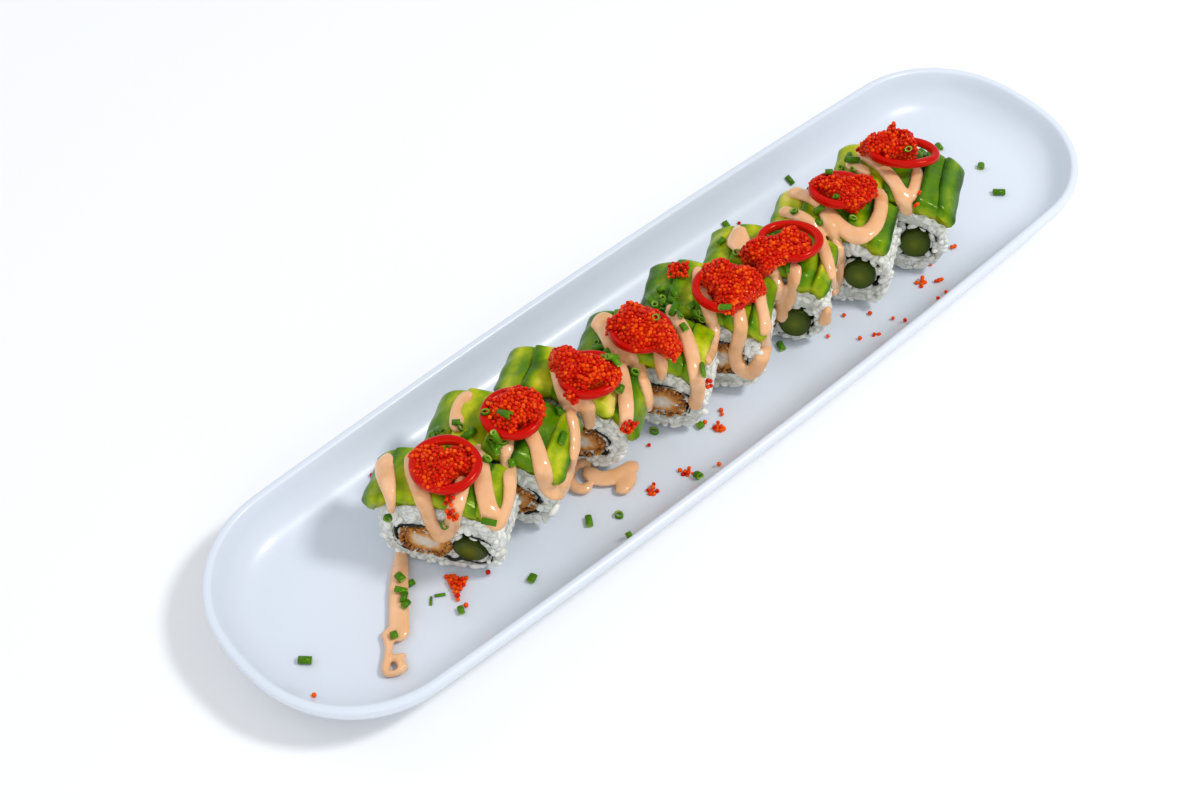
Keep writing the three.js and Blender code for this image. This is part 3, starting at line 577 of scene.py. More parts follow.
def over(a, height):
    """Place (u, z) at a over the roll, at a height above the rice."""
    along = over_point(a + 0.4) - over_point(a - 0.4)
    along /= np.linalg.norm(along)
    out = np.array([-along[1], along[0]])
    return over_point(a) + out * (height - TOPPING_LIFT) + np.array([0, ROLL["z"]])


def to_plate(slice_, points):
    """Points of a slice's own frame, in the row frame."""
    turn = np.radians(slice_["turn"])
    x = points[:, 0] * np.cos(turn) - points[:, 1] * np.sin(turn) + slice_["x"]
    y = points[:, 0] * np.sin(turn) + points[:, 1] * np.cos(turn) + slice_["y"]
    return np.stack([x, y, points[:, 2] + PLATE_FLOOR + REST_GAP], -1)


def back_of(slice_):
    return BACK + slice_["extra"]


def placed(spec, slice_):
    """The filling's place in a slice: which way round it lies, and how high."""
    return dict(spec, u=spec["u"] * slice_["side"], z=spec["z"] + slice_["lift"])


def shader(name, roughness, coat=0, subsurface=0, radius=(1, 0.6, 0.4), ior=1.36, shine=(1, 1, 1, 1)):
    """New material with its constants set on the shader's own sockets."""
    material = bpy.data.materials.new(name)
    material.use_nodes = True
    inputs = material.node_tree.nodes["Principled BSDF"].inputs
    inputs["Roughness"].default_value = roughness
    inputs["Coat Weight"].default_value = coat
    inputs["Coat Roughness"].default_value = COAT_ROUGHNESS
    inputs["IOR"].default_value = ior
    inputs["Specular Tint"].default_value = shine
    inputs["Subsurface Weight"].default_value = subsurface
    inputs["Subsurface Radius"].default_value = radius
    inputs["Subsurface Scale"].default_value = LIGHT_DEPTH
    return material


def add_node(material, kind, values, links):
    """New node of a material, with values in its inputs and outputs linked to others."""
    node = material.node_tree.nodes.new("ShaderNode" + kind)
    for key, value in values.items():
        node.inputs[key].default_value = value
    for key, source in links.items():
        material.node_tree.links.new(source, node.inputs[key])
    return node


def feed(material, socket, source):
    """Link an output to an input of the material's own shader."""
    material.node_tree.links.new(source, material.node_tree.nodes["Principled BSDF"].inputs[socket])


def noise(material, scale, detail=3):
    """Noise over the object's own coordinates; scale is per metre."""
    coords = add_node(material, "TexCoord", {}, {}).outputs["Object"]
    values = {"Scale": scale, "Detail": detail, "Roughness": 0.55}
    return add_node(material, "TexNoise", values, {"Vector": coords}).outputs["Fac"]


def point_tone(material):
    """The tone that a piece holds at each of its points."""
    node = add_node(material, "Attribute", {}, {})
    node.attribute_name = "tone"
    return node.outputs["Fac"]


def mottled(material, source, share, scale, detail):
    """The source with a share of noise added, centred on nothing added."""
    links = material.node_tree.links
    product = add_node(material, "Math", {1: share}, {})
    product.operation = "MULTIPLY_ADD"
    links.new(noise(material, scale, detail), product.inputs[0])
    links.new(source, product.inputs[2])
    less = add_node(material, "Math", {1: share / 2}, {})
    less.operation = "SUBTRACT"
    links.new(product.outputs[0], less.inputs[0])
    return less.outputs[0]


def linear(colour):
    """Linear colour from the 0 to 255 numbers that a picture uses."""
    shares = [value / 255 for value in colour]
    return [s / 12.92 if s <= 0.04045 else ((s + 0.055) / 1.055) ** 2.4 for s in shares] + [1]


def coloured(material, source, stops):
    """Colour the material by the colours at places along a number."""
    node = add_node(material, "ValToRGB", {}, {"Fac": source})
    elements = node.color_ramp.elements
    while len(elements) < len(stops):
        elements.new(0.5)
    for element, (place, colour) in zip(elements, stops.items()):
        element.position = place
        element.color = linear(colour)
    feed(material, "Base Color", node.outputs["Color"])


def bumpy(material, scale, detail, height, strength):
    """The material with bumps of noise, their height in metres."""
    values = {"Distance": height, "Strength": strength}
    node = add_node(material, "Bump", values, {"Height": noise(material, scale, detail)})
    feed(material, "Normal", node.outputs["Normal"])
    return material


def porcelain():
    material = shader("porcelain", 0.32, coat=0.12, ior=1.42)
    coloured(material, noise(material, 9), {0.3: (212, 219, 229), 0.7: (218, 224, 234)})
    return bumpy(material, 60, 3, 0.00012, 0.25)


def rice_look():
    material = shader("rice", 0.38, coat=0.1, subsurface=0.35, radius=(1, 0.95, 0.85))
    coloured(material, point_tone(material),
             {0: (186, 188, 176), 0.45: (214, 215, 204), 1: (240, 240, 230)})
    return bumpy(material, 900, 3, 0.0002, 0.3)


def nori_look():
    material = shader("nori", 0.5)
    coloured(material, noise(material, 500, 5), {0.3: (12, 18, 12), 0.7: (34, 42, 26)})
    return bumpy(material, 900, 4, 0.0003, 0.6)


def shrimp_look():
    """Pale flesh inside, golden crust with dark edges at the rim."""
    material = shader("shrimp", 0.5, coat=0.15, subsurface=0.15)
    coloured(material, mottled(material, point_tone(material), 0.5, 420, 4), {
        0: (224, 214, 204), 0.42: (216, 192, 164), 0.58: (206, 142, 62), 0.78: (172, 104, 30),
        1: (116, 58, 14)})
    return bumpy(material, 1100, 4, 0.0005, 0.7)


def asparagus_look():
    material = shader("asparagus", 0.38, subsurface=0.1, shine=GREEN_SHINE)
    coloured(material, mottled(material, point_tone(material), 0.22, 700, 2),
             {0: (94, 104, 12), 0.5: (66, 80, 3), 0.82: (50, 66, 2), 1: (28, 42, 3)})
    return bumpy(material, 1300, 2, 0.0003, 0.5)


def avocado_look():
    """Yellow flesh that turns green towards the skin, in patches and mottled."""
    material = shader("avocado", 0.28, coat=0.1, subsurface=0.06, shine=GREEN_SHINE)
    patched = mottled(material, point_tone(material), 0.6, 90, 3)
    coloured(material, mottled(material, patched, 0.3, 480, 4), {
        0: (226, 204, 100), 0.2: (186, 188, 32), 0.38: (136, 158, 0), 0.55: (92, 130, 0),
        0.75: (58, 106, 0), 1: (24, 66, 2)})
    return bumpy(material, 260, 3, 0.0006, 0.5)


def sauce_look():
    material = shader("sauce", 0.2, coat=0.5, subsurface=0.15, ior=1.4)
    coloured(material, noise(material, 120, 2), {0.3: (224, 166, 110), 0.7: (236, 185, 140)})
    return material


def chili_look():
    material = shader("chili", 0.2, coat=0.06, shine=RED_SHINE)
    coloured(material, point_tone(material), {0: (188, 2, 0), 0.6: (196, 8, 0), 1: (206, 34, 2)})
    return bumpy(material, 260, 2, 0.0003, 0.4)


def roe_look():
    material = shader("roe", 0.13, subsurface=0.2, radius=(1, 0.3, 0.1), ior=1.42, shine=RED_SHINE)
    coloured(material, point_tone(material), {0: (180, 8, 0), 0.5: (210, 26, 0), 1: (244, 92, 8)})
    return material


def chive_look():
    material = shader("chive", 0.35, coat=0.1, shine=GREEN_SHINE)
    coloured(material, point_tone(material), {0: (42, 94, 2), 0.5: (76, 130, 4), 1: (160, 192, 76)})
    return bumpy(material, 1500, 2, 0.0001, 0.4)


def plate_loop(inset, z):
    """The plate's outline drawn in by an inset: one quarter's arcs, mirrored three times."""
    end_centre = PLATE_LENGTH / 2 - END_RADIUS
    side_centre = PLATE_WIDTH / 2 - SIDE_RADIUS
    to_end = END_RADIUS - CORNER_RADIUS
    to_side = SIDE_RADIUS - CORNER_RADIUS
    gap = np.hypot(end_centre, side_centre)
    along = (gap ** 2 + to_side ** 2 - to_end ** 2) / (2 * gap)
    across = np.sqrt(to_side ** 2 - along ** 2)
    unit = np.array([end_centre, -side_centre]) / gap
    corner_x = unit[0] * along + unit[1] * across
    corner_y = side_centre + unit[1] * along - unit[0] * across
    end_turn = np.arctan2(corner_y, corner_x - end_centre)
    side_turn = np.arctan2(corner_y - side_centre, corner_x)
    arcs = [
        (end_centre, 0, END_RADIUS, 0, end_turn, 8),
        (corner_x, corner_y, CORNER_RADIUS, end_turn, side_turn, 20),
        (0, side_centre, SIDE_RADIUS, side_turn, np.pi / 2, 18),
    ]
    quarter = []
    for x, y, radius, start, end, steps in arcs:
        for k in range(steps):
            angle = start + (end - start) * (k + 0.5) / steps
            quarter.append((x + np.cos(angle) * (radius - inset), y + np.sin(angle) * (radius - inset), z))
    half = quarter + [(-x, y, z) for x, y, z in quarter[::-1]]
    return half + [(-x, -y, z) for x, y, z in half]


def plate(material):
    loops = [plate_loop(inset, z) for inset, z in smooth_run(PLATE_SECTION, 4)]
    add_piece("plate_porcelain", [(*skin(loops), 0)], material, "plate")


def rice_base(slice_):
    """Loops of the plain rice sleeve, without its grains."""
    inner = shelf(placed(SLEEVE, slice_), 0, 0, RICE_AROUND)
    outer = shelf(ROLL, RICE_SINK, 0, RICE_AROUND)
    back = back_of(slice_)
    front_face = FRONT + RICE_EDGE
    back_face = back - RICE_EDGE
    rows = [(0, v) for v in np.linspace(back, FRONT, 8)]
    rows += [(share, front_face) for share in np.linspace(0, 1, 7)[1:]]
    rows += [(1, v) for v in np.linspace(front_face, back_face, 18)[1:]]
    rows += [(share, back_face) for share in np.linspace(1, 0, 7)[1:-1]]
    return np.array([(inner * (1 - share) + outer * share) * [1, 0, 1] + [0, v, 0] for share, v in rows])


def loop_normals(loops):
    """Outward directions of a grid of loops that closes both ways."""
    around = np.roll(loops, -1, 1) - np.roll(loops, 1, 1)
    along = np.roll(loops, -1, 0) - np.roll(loops, 1, 0)
    normal = np.cross(around, along)
    normal /= np.linalg.norm(normal, axis=2, keepdims=True) + 1e-9
    outer = slice(15, 28)
    check = np.mean(np.sum(normal[outer] * (loops[outer] - [0, 0, ROLL["z"]]), axis=2))
    return normal if check > 0 else -normal


def grains(points, normals, sleeve, random):
    """Rice grains lying in the surface, as parts in the slice's frame."""
    parts = []
    for k in random.choice(len(points), GRAIN_COUNT):
        place = points[k]
        normal = normals[k]
        aside = abs(place[0] - sleeve["u"]) / (sleeve["wide"] - 1.4)
        inside = max(aside, abs(place[2] - sleeve["z"]) / (sleeve["high"] - 1.4)) < 1
        if inside or place[2] > COVERED_HIGH and abs(place[0]) < COVERED_WIDE:
            continue
        axis = random.normal(size=3)
        axis -= normal * (axis @ normal) * random.uniform(0.84, 1)
        axis /= np.linalg.norm(axis)
        side = np.cross(normal, axis)
        side /= np.linalg.norm(side)
        size = random.uniform(0.85, 1.1)
        blunt = np.sign(BALL[0]) * np.abs(BALL[0]) ** GRAIN_BLUNT
        shape = blunt * [GRAIN_LONG * size, GRAIN_WIDE * size, GRAIN_WIDE * size * 0.85]
        shape[:, 2] += 0.07 * shape[:, 0] ** 2 * random.uniform(-1, 1)
        turned = shape @ np.array([axis, side, np.cross(axis, side)])
        turned = turned + place + normal * random.uniform(-0.9, 0.05)
        turned[:, 2] = np.maximum(turned[:, 2], 0.02)
        parts.append((turned, BALL[1], random.uniform(0.45, 1)))
    return parts


def packing(sleeve, back, random):
    """Rice that fills the nori sheet round the fillings at both cut faces, as parts."""
    parts = []
    for k in range(PACKED_COUNT):
        place = np.array([
            sleeve["u"] + random.uniform(-1, 1) * (sleeve["wide"] - 2.2),
            FRONT + random.uniform(1, 1.5) if k % 2 else back - random.uniform(1, 1.5),
            sleeve["z"] + random.uniform(-1, 1) * (sleeve["high"] - 1.6),
        ])
        turn = random.uniform(0, np.pi)
        axes = np.array([[np.cos(turn), 0, np.sin(turn)], [0, 1, 0], [-np.sin(turn), 0, np.cos(turn)]])
        grain = (BALL[0] * [GRAIN_LONG, 1, GRAIN_WIDE]) @ axes + place
        # These grains lie sunk inside the nori at the cut faces and get darker tones than the outer grains:
        # painted shade.
        parts.append((grain, BALL[1], random.uniform(0.3, 0.8)))
    return parts


def rice(slice_, random, material):
    sleeve = placed(SLEEVE, slice_)
    loops = rice_base(slice_)
    normals = loop_normals(loops).reshape(-1, 3)
    points = loops.reshape(-1, 3)
    core = points - normals * random.uniform(0.1, 0.5, (len(points), 1))
    # The core shows only in the gaps between the grains and gets a darker tone than they do: painted shade
    # in those gaps.
    parts = [(*skin(core.reshape(loops.shape), joined=True), 0.2)]
    outside = np.arange(len(points)) >= 8 * RICE_AROUND
    parts += grains(points[outside], normals[outside], sleeve, random)
    parts += packing(sleeve, back_of(slice_), random)
    add_to_slice(slice_, "rice", "grains", parts, material)


def nori(slice_, random, material):
    ragged = smooth_noise(random, RICE_AROUND, 30)
    back = back_of(slice_) - 0.3
    front = FRONT + NORI_BEHIND[SLICES.index(slice_) >= LAST_NORI_SHOWN]
    inner = NORI_GAP + NORI_THICK
    loops = []
    for inset, v in [(NORI_GAP, back), (NORI_GAP, 0), (NORI_GAP, front),
                     (inner, front), (inner, 0), (inner, back)]:
        loop = shelf(placed(SLEEVE, slice_), inset, v, RICE_AROUND)
        if v == front:
            loop[:, 1] -= NORI_RAGGED * ragged
        loops.append(loop)
    add_to_slice(slice_, "nori", "sheet", [(*skin(loops, joined=True), 0)], material)


def plug(spec, front, back, count, rings, wobble, random):
    """A filling's loops over its cut faces and wall, and how near the rim each point is."""
    wave = smooth_noise(random, count, 14) * wobble
    rows = [(FACE_INSET, front, share, wave) for share in np.linspace(0.04, 1, rings)]
    for v in np.linspace(front + 0.8, back - 0.8, 8):
        rows.append((0, v, 1, wave + 0.4 * wobble * smooth_noise(random, count, 18)))
    rows += [(FACE_INSET, back, share, wave) for share in np.linspace(1, 0.04, rings)]
    loops = [shelf(spec, inset, v, count, share, sway) for inset, v, share, sway in rows]
    return np.array(loops), np.repeat([share for inset, v, share, sway in rows], count)


def shrimp(slice_, random, material):
    spec = placed(SHRIMP, slice_)
    flesh = dict(spec, wide=spec["wide"] - CRUST_ROOM, high=spec["high"] - CRUST_ROOM)
    loops, rim = plug(flesh, FRONT + 0.3, back_of(slice_) - 0.8, 90, 14, 0.6, random)
    flat = loops.reshape(-1, 3)
    bumps = random.normal(size=(60, 3)) * [5, 0.1, 4] + [spec["u"], FRONT, spec["z"]]
    flat[:, 1] -= crags(flat, random, bumps) * (flat[:, 1] < 0)
    parts = [(*skin(loops), rim * 0.8)] + crust(spec, back_of(slice_), random)
    add_to_slice(slice_, "shrimp", "fried", parts, material)


def crust(spec, back, random):
    """Crags of fried batter round the shrimp, at both cut faces and between them, as parts."""
    parts = []
    for k in range(CRUST_COUNT):
        angle = random.uniform(0, 2 * np.pi)
        edge = square_point(np.array(angle), spec["wide"] - 0.3, spec["high"] - 0.2, spec["square"])
        v = random.choice([FRONT + 0.2, FRONT + 0.2, back - 0.8]) + random.uniform(-0.7, 0.5)
        if k % 3 == 0:
            v = random.uniform(FRONT, back - 0.5)
        size = random.uniform(0.35, 1.05) * np.array([1, random.uniform(0.3, 0.7),
                                                      random.uniform(0.6, 1.5)])
        turn = np.linalg.qr(random.normal(size=(3, 3)))[0]
        rough = CRAG[0] * (1 + random.uniform(-0.3, 0.25, (len(CRAG[0]), 1))) * size
        place = [spec["u"] + edge[0] * random.uniform(0.84, 1.1), v,
                 spec["z"] + edge[1] * random.uniform(0.84, 1.12)]
        parts.append((rough @ turn + place, CRAG[1], random.uniform(0.55, 1)))
    return parts


def crags(points, random, places):
    """How far lumps of crust and flesh round some places stand out at the points."""
    relief = np.zeros(len(points))
    for place in places:
        size = random.uniform(0.8, 2.0)
        away = np.linalg.norm(points - place, axis=1) / size
        relief = np.maximum(relief, size * 0.45 * np.sqrt(np.clip(1 - away ** 2, 0, None)))
    return relief


def asparagus(slice_, random, material):
    spec = dict(placed(ASPARAGUS, slice_), high=slice_["asparagus"] + 0.3)
    loops, rim = plug(spec, FRONT - slice_["out"], back_of(slice_) - 0.4, 64, 10, 0.12, random)
    add_to_slice(slice_, "asparagus", "spear", [(*skin(loops), rim)], material)


def flap(spec, back_edge, random):
    """One avocado slice over the roll, as a part in the slice's frame."""
    start, end, overhang, tone_left, tone_right = spec
    bow = random.uniform(-1.2, 1.2)
    skew = random.uniform(-1.5, 1.5)
    wave = random.uniform(0, 6, 5)
    middle = 0.08 + 0.6 * min(tone_left, tone_right) + random.uniform(-0.06, 0.1)
    loops = []
    tones = []
    for share_v in np.arange(FLAP_DEEP + 1) / FLAP_DEEP:
        ends = min(share_v, 1 - share_v) * (back_edge - FRONT)
        roundness = np.sqrt(min(1, (ends + 0.25) / 1.6))
        pale = max(0.0, 1 - ends / 0.9) * 0.7
        top = []
        under = []
        for share in np.arange(FLAP_ACROSS) / (FLAP_ACROSS - 1):
            rounded = abs(2 * share - 1) ** 4
            front = FRONT - overhang + 1.3 * rounded + 0.35 * np.sin(share * 8 + wave[3])
            back = back_edge - 0.2 - 0.9 * rounded
            v = back + (front - back) * share_v
            a = start + (end - start) * share + bow * np.sin(share_v * np.pi) + skew * (share_v - 0.5)
            edge = np.sqrt(1 - max(0.0, 1 - share / 0.13) ** 2) - 0.3 * max(0.0, share / 0.15 - 5.667) ** 2
            thick = FLAP_THICK - FLAP_THINS * share + 0.2 * np.sin(share * 7 + wave[0] + share_v * 4)
            thick += 0.14 * np.sin(share_v * 17 + wave[4] + share * 5)
            drop = max(0.0, FRONT - v) * 0.5
            high = FLAP_LEAST + (thick - FLAP_LEAST) * edge * roundness
            for row, height in (top, high), (under, FLAP_UNDER):
                u, z = over(a, height)
                row.append((u, v, z - drop))
            left = np.exp(-(share / 0.3) ** 2)
            right = np.exp(-((1 - share) / 0.3) ** 2)
            value = middle + (tone_left - middle) * left + (tone_right - middle) * right
            value += 0.08 * np.sin(share_v * 9 + wave[1]) + 0.07 * np.sin(share * 11 + wave[2])
            tones.append(value * (1 - pale) + UNDER_TONE * pale)
        loops.append(top + under[::-1])
        tones.extend([UNDER_TONE] * FLAP_ACROSS)
    return *skin(loops), tones


def avocado(slice_, random, material):
    parts = [flap(spec, back_of(slice_), random) for spec in slice_["flaps"]]
    add_to_slice(slice_, "avocado", "slices", parts, material)


def ring_lift(ring):
    return np.sin(np.radians(ring[4])) * ring[3]


def chili(slice_, random, material):
    """The chilli ring: a cut slice of the pod's wall, a little uneven and tilted."""
    u, s, long, short, tilt = slice_["ring"]
    lean = np.radians(tilt)
    count = 96
    wall = CHILI_WALL / 2 * (1 + 0.16 * smooth_noise(random, count, 9))
    sway = 0.35 * smooth_noise(random, count, 7)
    rise = 0.3 * smooth_noise(random, count, 6)
    around = np.arange(16) / 16 * 2 * np.pi
    up, out = square_point(around, CHILI_TALL / 2 * 0.92, 1, 2 / 0.75).T
    loops = []
    for k in range(count):
        angle = k / count * 2 * np.pi
        side = out * wall[k] + sway[k] - CHILI_WALL / 2
        to_long = np.cos(angle) * (long + side)
        to_short = np.sin(angle) * (short + side)
        turned_u = to_long * np.cos(RING_TURN) - to_short * np.sin(RING_TURN)
        turned_s = to_long * np.sin(RING_TURN) + to_short * np.cos(RING_TURN)
        height = ROLL_HEIGHT + CHILI_HEIGHT + ring_lift(slice_["ring"]) + up + rise[k]
        loops.append(np.stack([u + turned_u, FRONT + s + turned_s * np.cos(lean),
                               height - turned_s * np.sin(lean)], -1))
    inside = np.tile(np.clip(-out, 0, 1), count)
    add_to_slice(slice_, "chili", "ring", [(*skin(loops, joined=True), inside)], material)


def rope(places, outs, widths, thick, sides):
    """A flattened rope with rounded ends through a run of places, as a part."""
    along = np.gradient(places, axis=0)
    along /= np.linalg.norm(along, axis=1, keepdims=True)
    side = np.cross(along, outs)
    side /= np.linalg.norm(side, axis=1, keepdims=True)
    up = np.cross(side, along)
    gone = walked(places)
    ends = np.minimum(gone, gone[-1] - gone)
    taper = np.sqrt(np.clip((ends + 0.15) / (widths * 0.45), 0.05, 1))
    angles = (np.arange(sides) + 0.5) / sides * 2 * np.pi
    loops = []
    for k in range(len(places)):
        half = widths[k] / 2 * taper[k]
        tall = thick / 2 * taper[k]
        loops.append(places[k] + np.outer(np.cos(angles) * half, side[k])
                     + np.outer(np.sin(angles) * tall, up[k]))
    return *skin(loops), 0


def flowed(piece, smoothing):
    """Run the strands of a piece together and smooth them, as a thick liquid does."""
    remesh = piece.modifiers.new("flow", "REMESH")
    remesh.mode = "VOXEL"
    remesh.voxel_size = SAUCE_VOXEL
    smooth = piece.modifiers.new("smooth", "SMOOTH")
    smooth.factor = 0.5
    smooth.iterations = smoothing
    bpy.context.view_layer.update()
    graph = bpy.context.evaluated_depsgraph_get()
    made = bpy.data.meshes.new_from_object(piece.evaluated_get(graph))
    piece.modifiers.clear()
    piece.data = made
    made.shade_smooth()


def averaged(rows, window):
    """Each row averaged with its neighbours."""
    reach = window // 2
    return np.array([rows[max(0, k - reach):k + reach + 1].mean(axis=0) for k in range(len(rows))])


def drizzle(line, tree, least):
    """One line of sauce as a part; what is lower than the least height is left out."""
    rows = []
    for x, y, width in smooth_run(line, 6):
        hit, normal, toward = met(x, y, tree)
        if hit.z >= least:
            rows.append([*hit, *normal, width])
    rows = np.array(rows)
    outs = averaged(rows[:, 3:6], 9)
    outs /= np.linalg.norm(outs, axis=1, keepdims=True)
    places = averaged(rows[:, :3], 5) + outs * SAUCE_THICK * 0.16
    return rope(places, outs, rows[:, 6] * SAUCE_SPREAD, SAUCE_THICK, 14)


def sauce(material):
    """All the sauce drizzled over the slices, laid on whatever each line of sight meets."""
    tree = surface_tree("avocado_", "rice_", "shrimp_", "asparagus_", "plate_")
    parts = [drizzle(line, tree, LOW_SAUCE if name == "six_foot" else HIGH_SAUCE)
             for name, line in DRIZZLE.items()]
    flowed(add_piece("sauce_drizzle", parts, material), 5)


def pool(name, routes, material):
    """Strands of sauce lying on the plate, run together."""
    parts = []
    for rows in [smooth_run(route, 8) for route in routes]:
        places = np.array([on_plate(x, y, POOL_LIFT + POOL_THICK / 2) for x, y, width in rows])
        outs = np.tile([0.0, 0.0, 1.0], (len(rows), 1))
        parts.append(rope(places, outs, rows[:, 2], POOL_THICK, 18))
    flowed(add_piece(f"{name}_pool", parts, material, name), 8)


def balls(name, centres, random, material, radius=EGG_RADIUS, shade=EGG_SHADE, replaced=None):
    """Roe eggs at the given places, each a little different in size and colour."""
    parts = []
    for centre in centres:
        size = radius * random.uniform(0.88, 1.12)
        parts.append((BALL[0] * size + centre, BALL[1], np.clip(random.normal(shade, 0.25), 0, 1)))
    add_piece(name, parts, material, replaced)


def apart(points, least, random):
    """The points, in a random order, that keep a least distance from those kept before."""
    cells = {}
    kept = []
    for k in random.permutation(len(points)):
        cell = tuple(np.floor(points[k] / least).astype(int))
        around = itertools.product(*[(place - 1, place, place + 1) for place in cell])
        near = [other for place in around for other in cells.get(place, ())]
        if all(np.sum((points[k] - other) ** 2) >= least * least for other in near):
            cells.setdefault(cell, []).append(points[k])
            kept.append(points[k])
    return np.array(kept)


def footprint(outline, high, top):
    """The ground plan of a heap with that outline in the photograph, at the height of its ring."""
    corners = np.array(outline, float)
    middle = corners.mean(axis=0)
    upper = np.clip((middle[1] - corners[:, 1]) / np.ptp(corners[:, 1]) * 2, 0, 1)
    corners[:, 1] += upper * high * HEAP_SHOWS
    return np.array([on_plate(x, y, top - PLATE_FLOOR)[:2] for x, y in corners])


def heap_edge(corners, count):
    """Middle of a heap's plan, and how far its edge is from there at even angles."""
    middle = corners.mean(axis=0)
    sides = zip(corners, np.roll(corners, -1, axis=0))
    fine = np.concatenate([np.linspace(start, end, 12, endpoint=False) for start, end in sides]) - middle
    angles = np.arctan2(fine[:, 1], fine[:, 0]) % (2 * np.pi)
    order = np.argsort(angles)
    wanted = np.arange(count) / count * 2 * np.pi
    return middle, np.interp(wanted, angles[order], np.hypot(*fine.T)[order], period=2 * np.pi)


def heap(number, tree, random):
    """Places of a heap's eggs and the loops of the core under them, in the row frame."""
    high, outline = HEAPS[number]
    ring = SLICES[number - 1]["ring"]
    top = PLATE_FLOOR + REST_GAP + ROLL_HEIGHT + CHILI_HEIGHT + CHILI_TALL / 2 + ring_lift(ring) - HEAP_SINK
    middle, reach = heap_edge(footprint(outline, high, top), HEAP_AROUND)
    reach = reach * (1 + 0.09 * smooth_noise(random, HEAP_AROUND, 24))
    lumps = random.uniform(-0.8, 0.8, (12, 2))
    talls = random.uniform(-1, 1.3, 12)
    away = np.array([-np.sin(CAMERA_AZIMUTH), np.cos(CAMERA_AZIMUTH)])

    def edge_height(x, y):
        hit, normal, face, far = tree.ray_cast(Vector((x, y, 200)), Vector((0, 0, -1)))
        if hit is None or hit.z < top - 8:
            return top - 1.5
        return min(max(hit.z, top - 4.6), top)

    def place_of(order, share, sink):
        angle = order / HEAP_AROUND * 2 * np.pi
        facing = np.array([np.cos(angle), np.sin(angle)])
        lump = np.exp(-np.sum((facing * share - lumps) ** 2, axis=1) / 0.04) @ talls
        dome = np.sqrt(max(0.0, 1 - share ** 3)) * (0.74 + 0.4 * np.clip(lump, -1, 1.2))
        blend = np.clip((share - 0.72) / 0.28, 0, 1) ** 2
        spot = middle + facing * share * reach[order]
        base = top * (1 - blend) + edge_height(*spot) * blend if blend > 0 else top
        slid = np.clip(0.5 - 2 * (facing @ away), 0, 1) * (top - base) / np.tan(CAMERA_ELEVATION)
        return np.array([*(spot + slid * away), base + high * dome + 0.3 - sink])

    places = []
    for k in range(8000):
        share = np.sqrt(random.uniform(0, 1.04))
        places.append(place_of(random.integers(HEAP_AROUND), share, random.uniform(0, 1) ** 2 * 0.8))
    if number == TIPPED_HEAP:
        order = int(np.arctan2(away[1], away[0]) / (2 * np.pi) * HEAP_AROUND % HEAP_AROUND)
        for k in range(60):
            rise = random.uniform(0, 1)
            aside = random.uniform(-1, 1, 3) * (1 - rise) * [1.5, 1.5, 0.4]
            places.insert(0, place_of(order, 0.35, -TIP_HEIGHT * rise) + aside)
    loops = [[place_of(order, share, sink) for order in range(HEAP_AROUND)] for share, sink in CORE_RINGS]
    return apart(np.array(places), EGG_RADIUS * 1.5, random), loops


def roe(number, tree, material):
    random = np.random.default_rng(700 + number)
    places, loops = heap(number, tree, random)
    balls(f"roe_{number}_eggs", places, random, material, replaced=f"roe_{number}")
    # The core gets a darker tone than the eggs: painted shade between them.
    add_piece(f"roe_{number}_core", [(*skin(loops), CORE_PAINTED_SHADE)], material)


def cluster(middle, count, reach, random):
    """Eggs lying together in a small patch, some on top of the others."""
    flat = random.uniform(-1, 1, (count * 30, 3)) * [reach, reach, 0]
    kept = apart(flat, EGG_RADIUS * 1.7, random)
    order = np.argsort(np.hypot(kept[:, 0], kept[:, 1]) * random.uniform(0.8, 1.25, len(kept)))
    kept = kept[order][:count]
    upper = kept[: count // 3] + [0.5, 0.4, EGG_RADIUS * 1.4]
    return list(middle + np.concatenate([kept, upper]))


def small_heaps(tree, material):
    """Small lumps of roe beside the large ones."""
    random = np.random.default_rng(790)
    places = []
    for x, y, count, reach in SMALL_HEAPS.values():
        hit, normal, line = met(x, y, tree)
        offsets = np.array(cluster(np.zeros(3), count, reach, random)) + [0, 0, EGG_RADIUS * 0.7]
        places.extend(offsets @ turn_matrix(normal, 0) + np.array(hit))
    balls("roe_small_heaps", places, random, material)


def pile(corners, random):
    """Eggs that fill a triangle on the plate in two layers."""
    corners = np.array(corners, float)
    layers = []
    for least, height, inner in [(1.4, 1, 1), (1.5, 2.3, 0.75)]:
        shares = random.dirichlet((1, 1, 1), 900)
        spots = (corners - corners.mean(axis=0)) * inner + corners.mean(axis=0)
        flat = [on_plate(x, y, LOOSE_RADIUS * height) for x, y in shares @ spots]
        layers.extend(apart(np.array(flat), LOOSE_RADIUS * least, random))
    return layers


def turn_matrix(facing, spin):
    """Rows of a frame whose first axis lies along the surface and last one faces out."""
    facing = Vector(facing).normalized()
    first = facing.orthogonal().normalized()
    along = first * np.cos(spin) + facing.cross(first) * np.sin(spin)
    return np.array([along, facing.cross(along), facing])


def chive_piece(random, form):
    """A short cut of chive as a tube along its own z: points, faces and tones."""
    half = random.uniform(*CHIVE_LENGTHS[form]) / 2
    radius = random.uniform(0.95, 1.3) * CHIVE_WIDENS[form]
    inner = radius * 0.7
    squash = random.uniform(0.55, 1.0)
    angles = np.arange(CHIVE_SIDES) / CHIVE_SIDES * 2 * np.pi
    rows = [(radius, -half, 0.45), (radius * 1.02, 0, 0.3), (radius, half, 0.45),
            (inner, half, 0.95), (inner, 0, 0.7), (inner, -half, 0.95)]
    loops = [np.column_stack([np.cos(angles) * reach, np.sin(angles) * reach * squash,
                              np.full(CHIVE_SIDES, z)]) for reach, z, tone in rows]
    return *skin(loops, joined=True), np.repeat([tone for reach, z, tone in rows], CHIVE_SIDES)


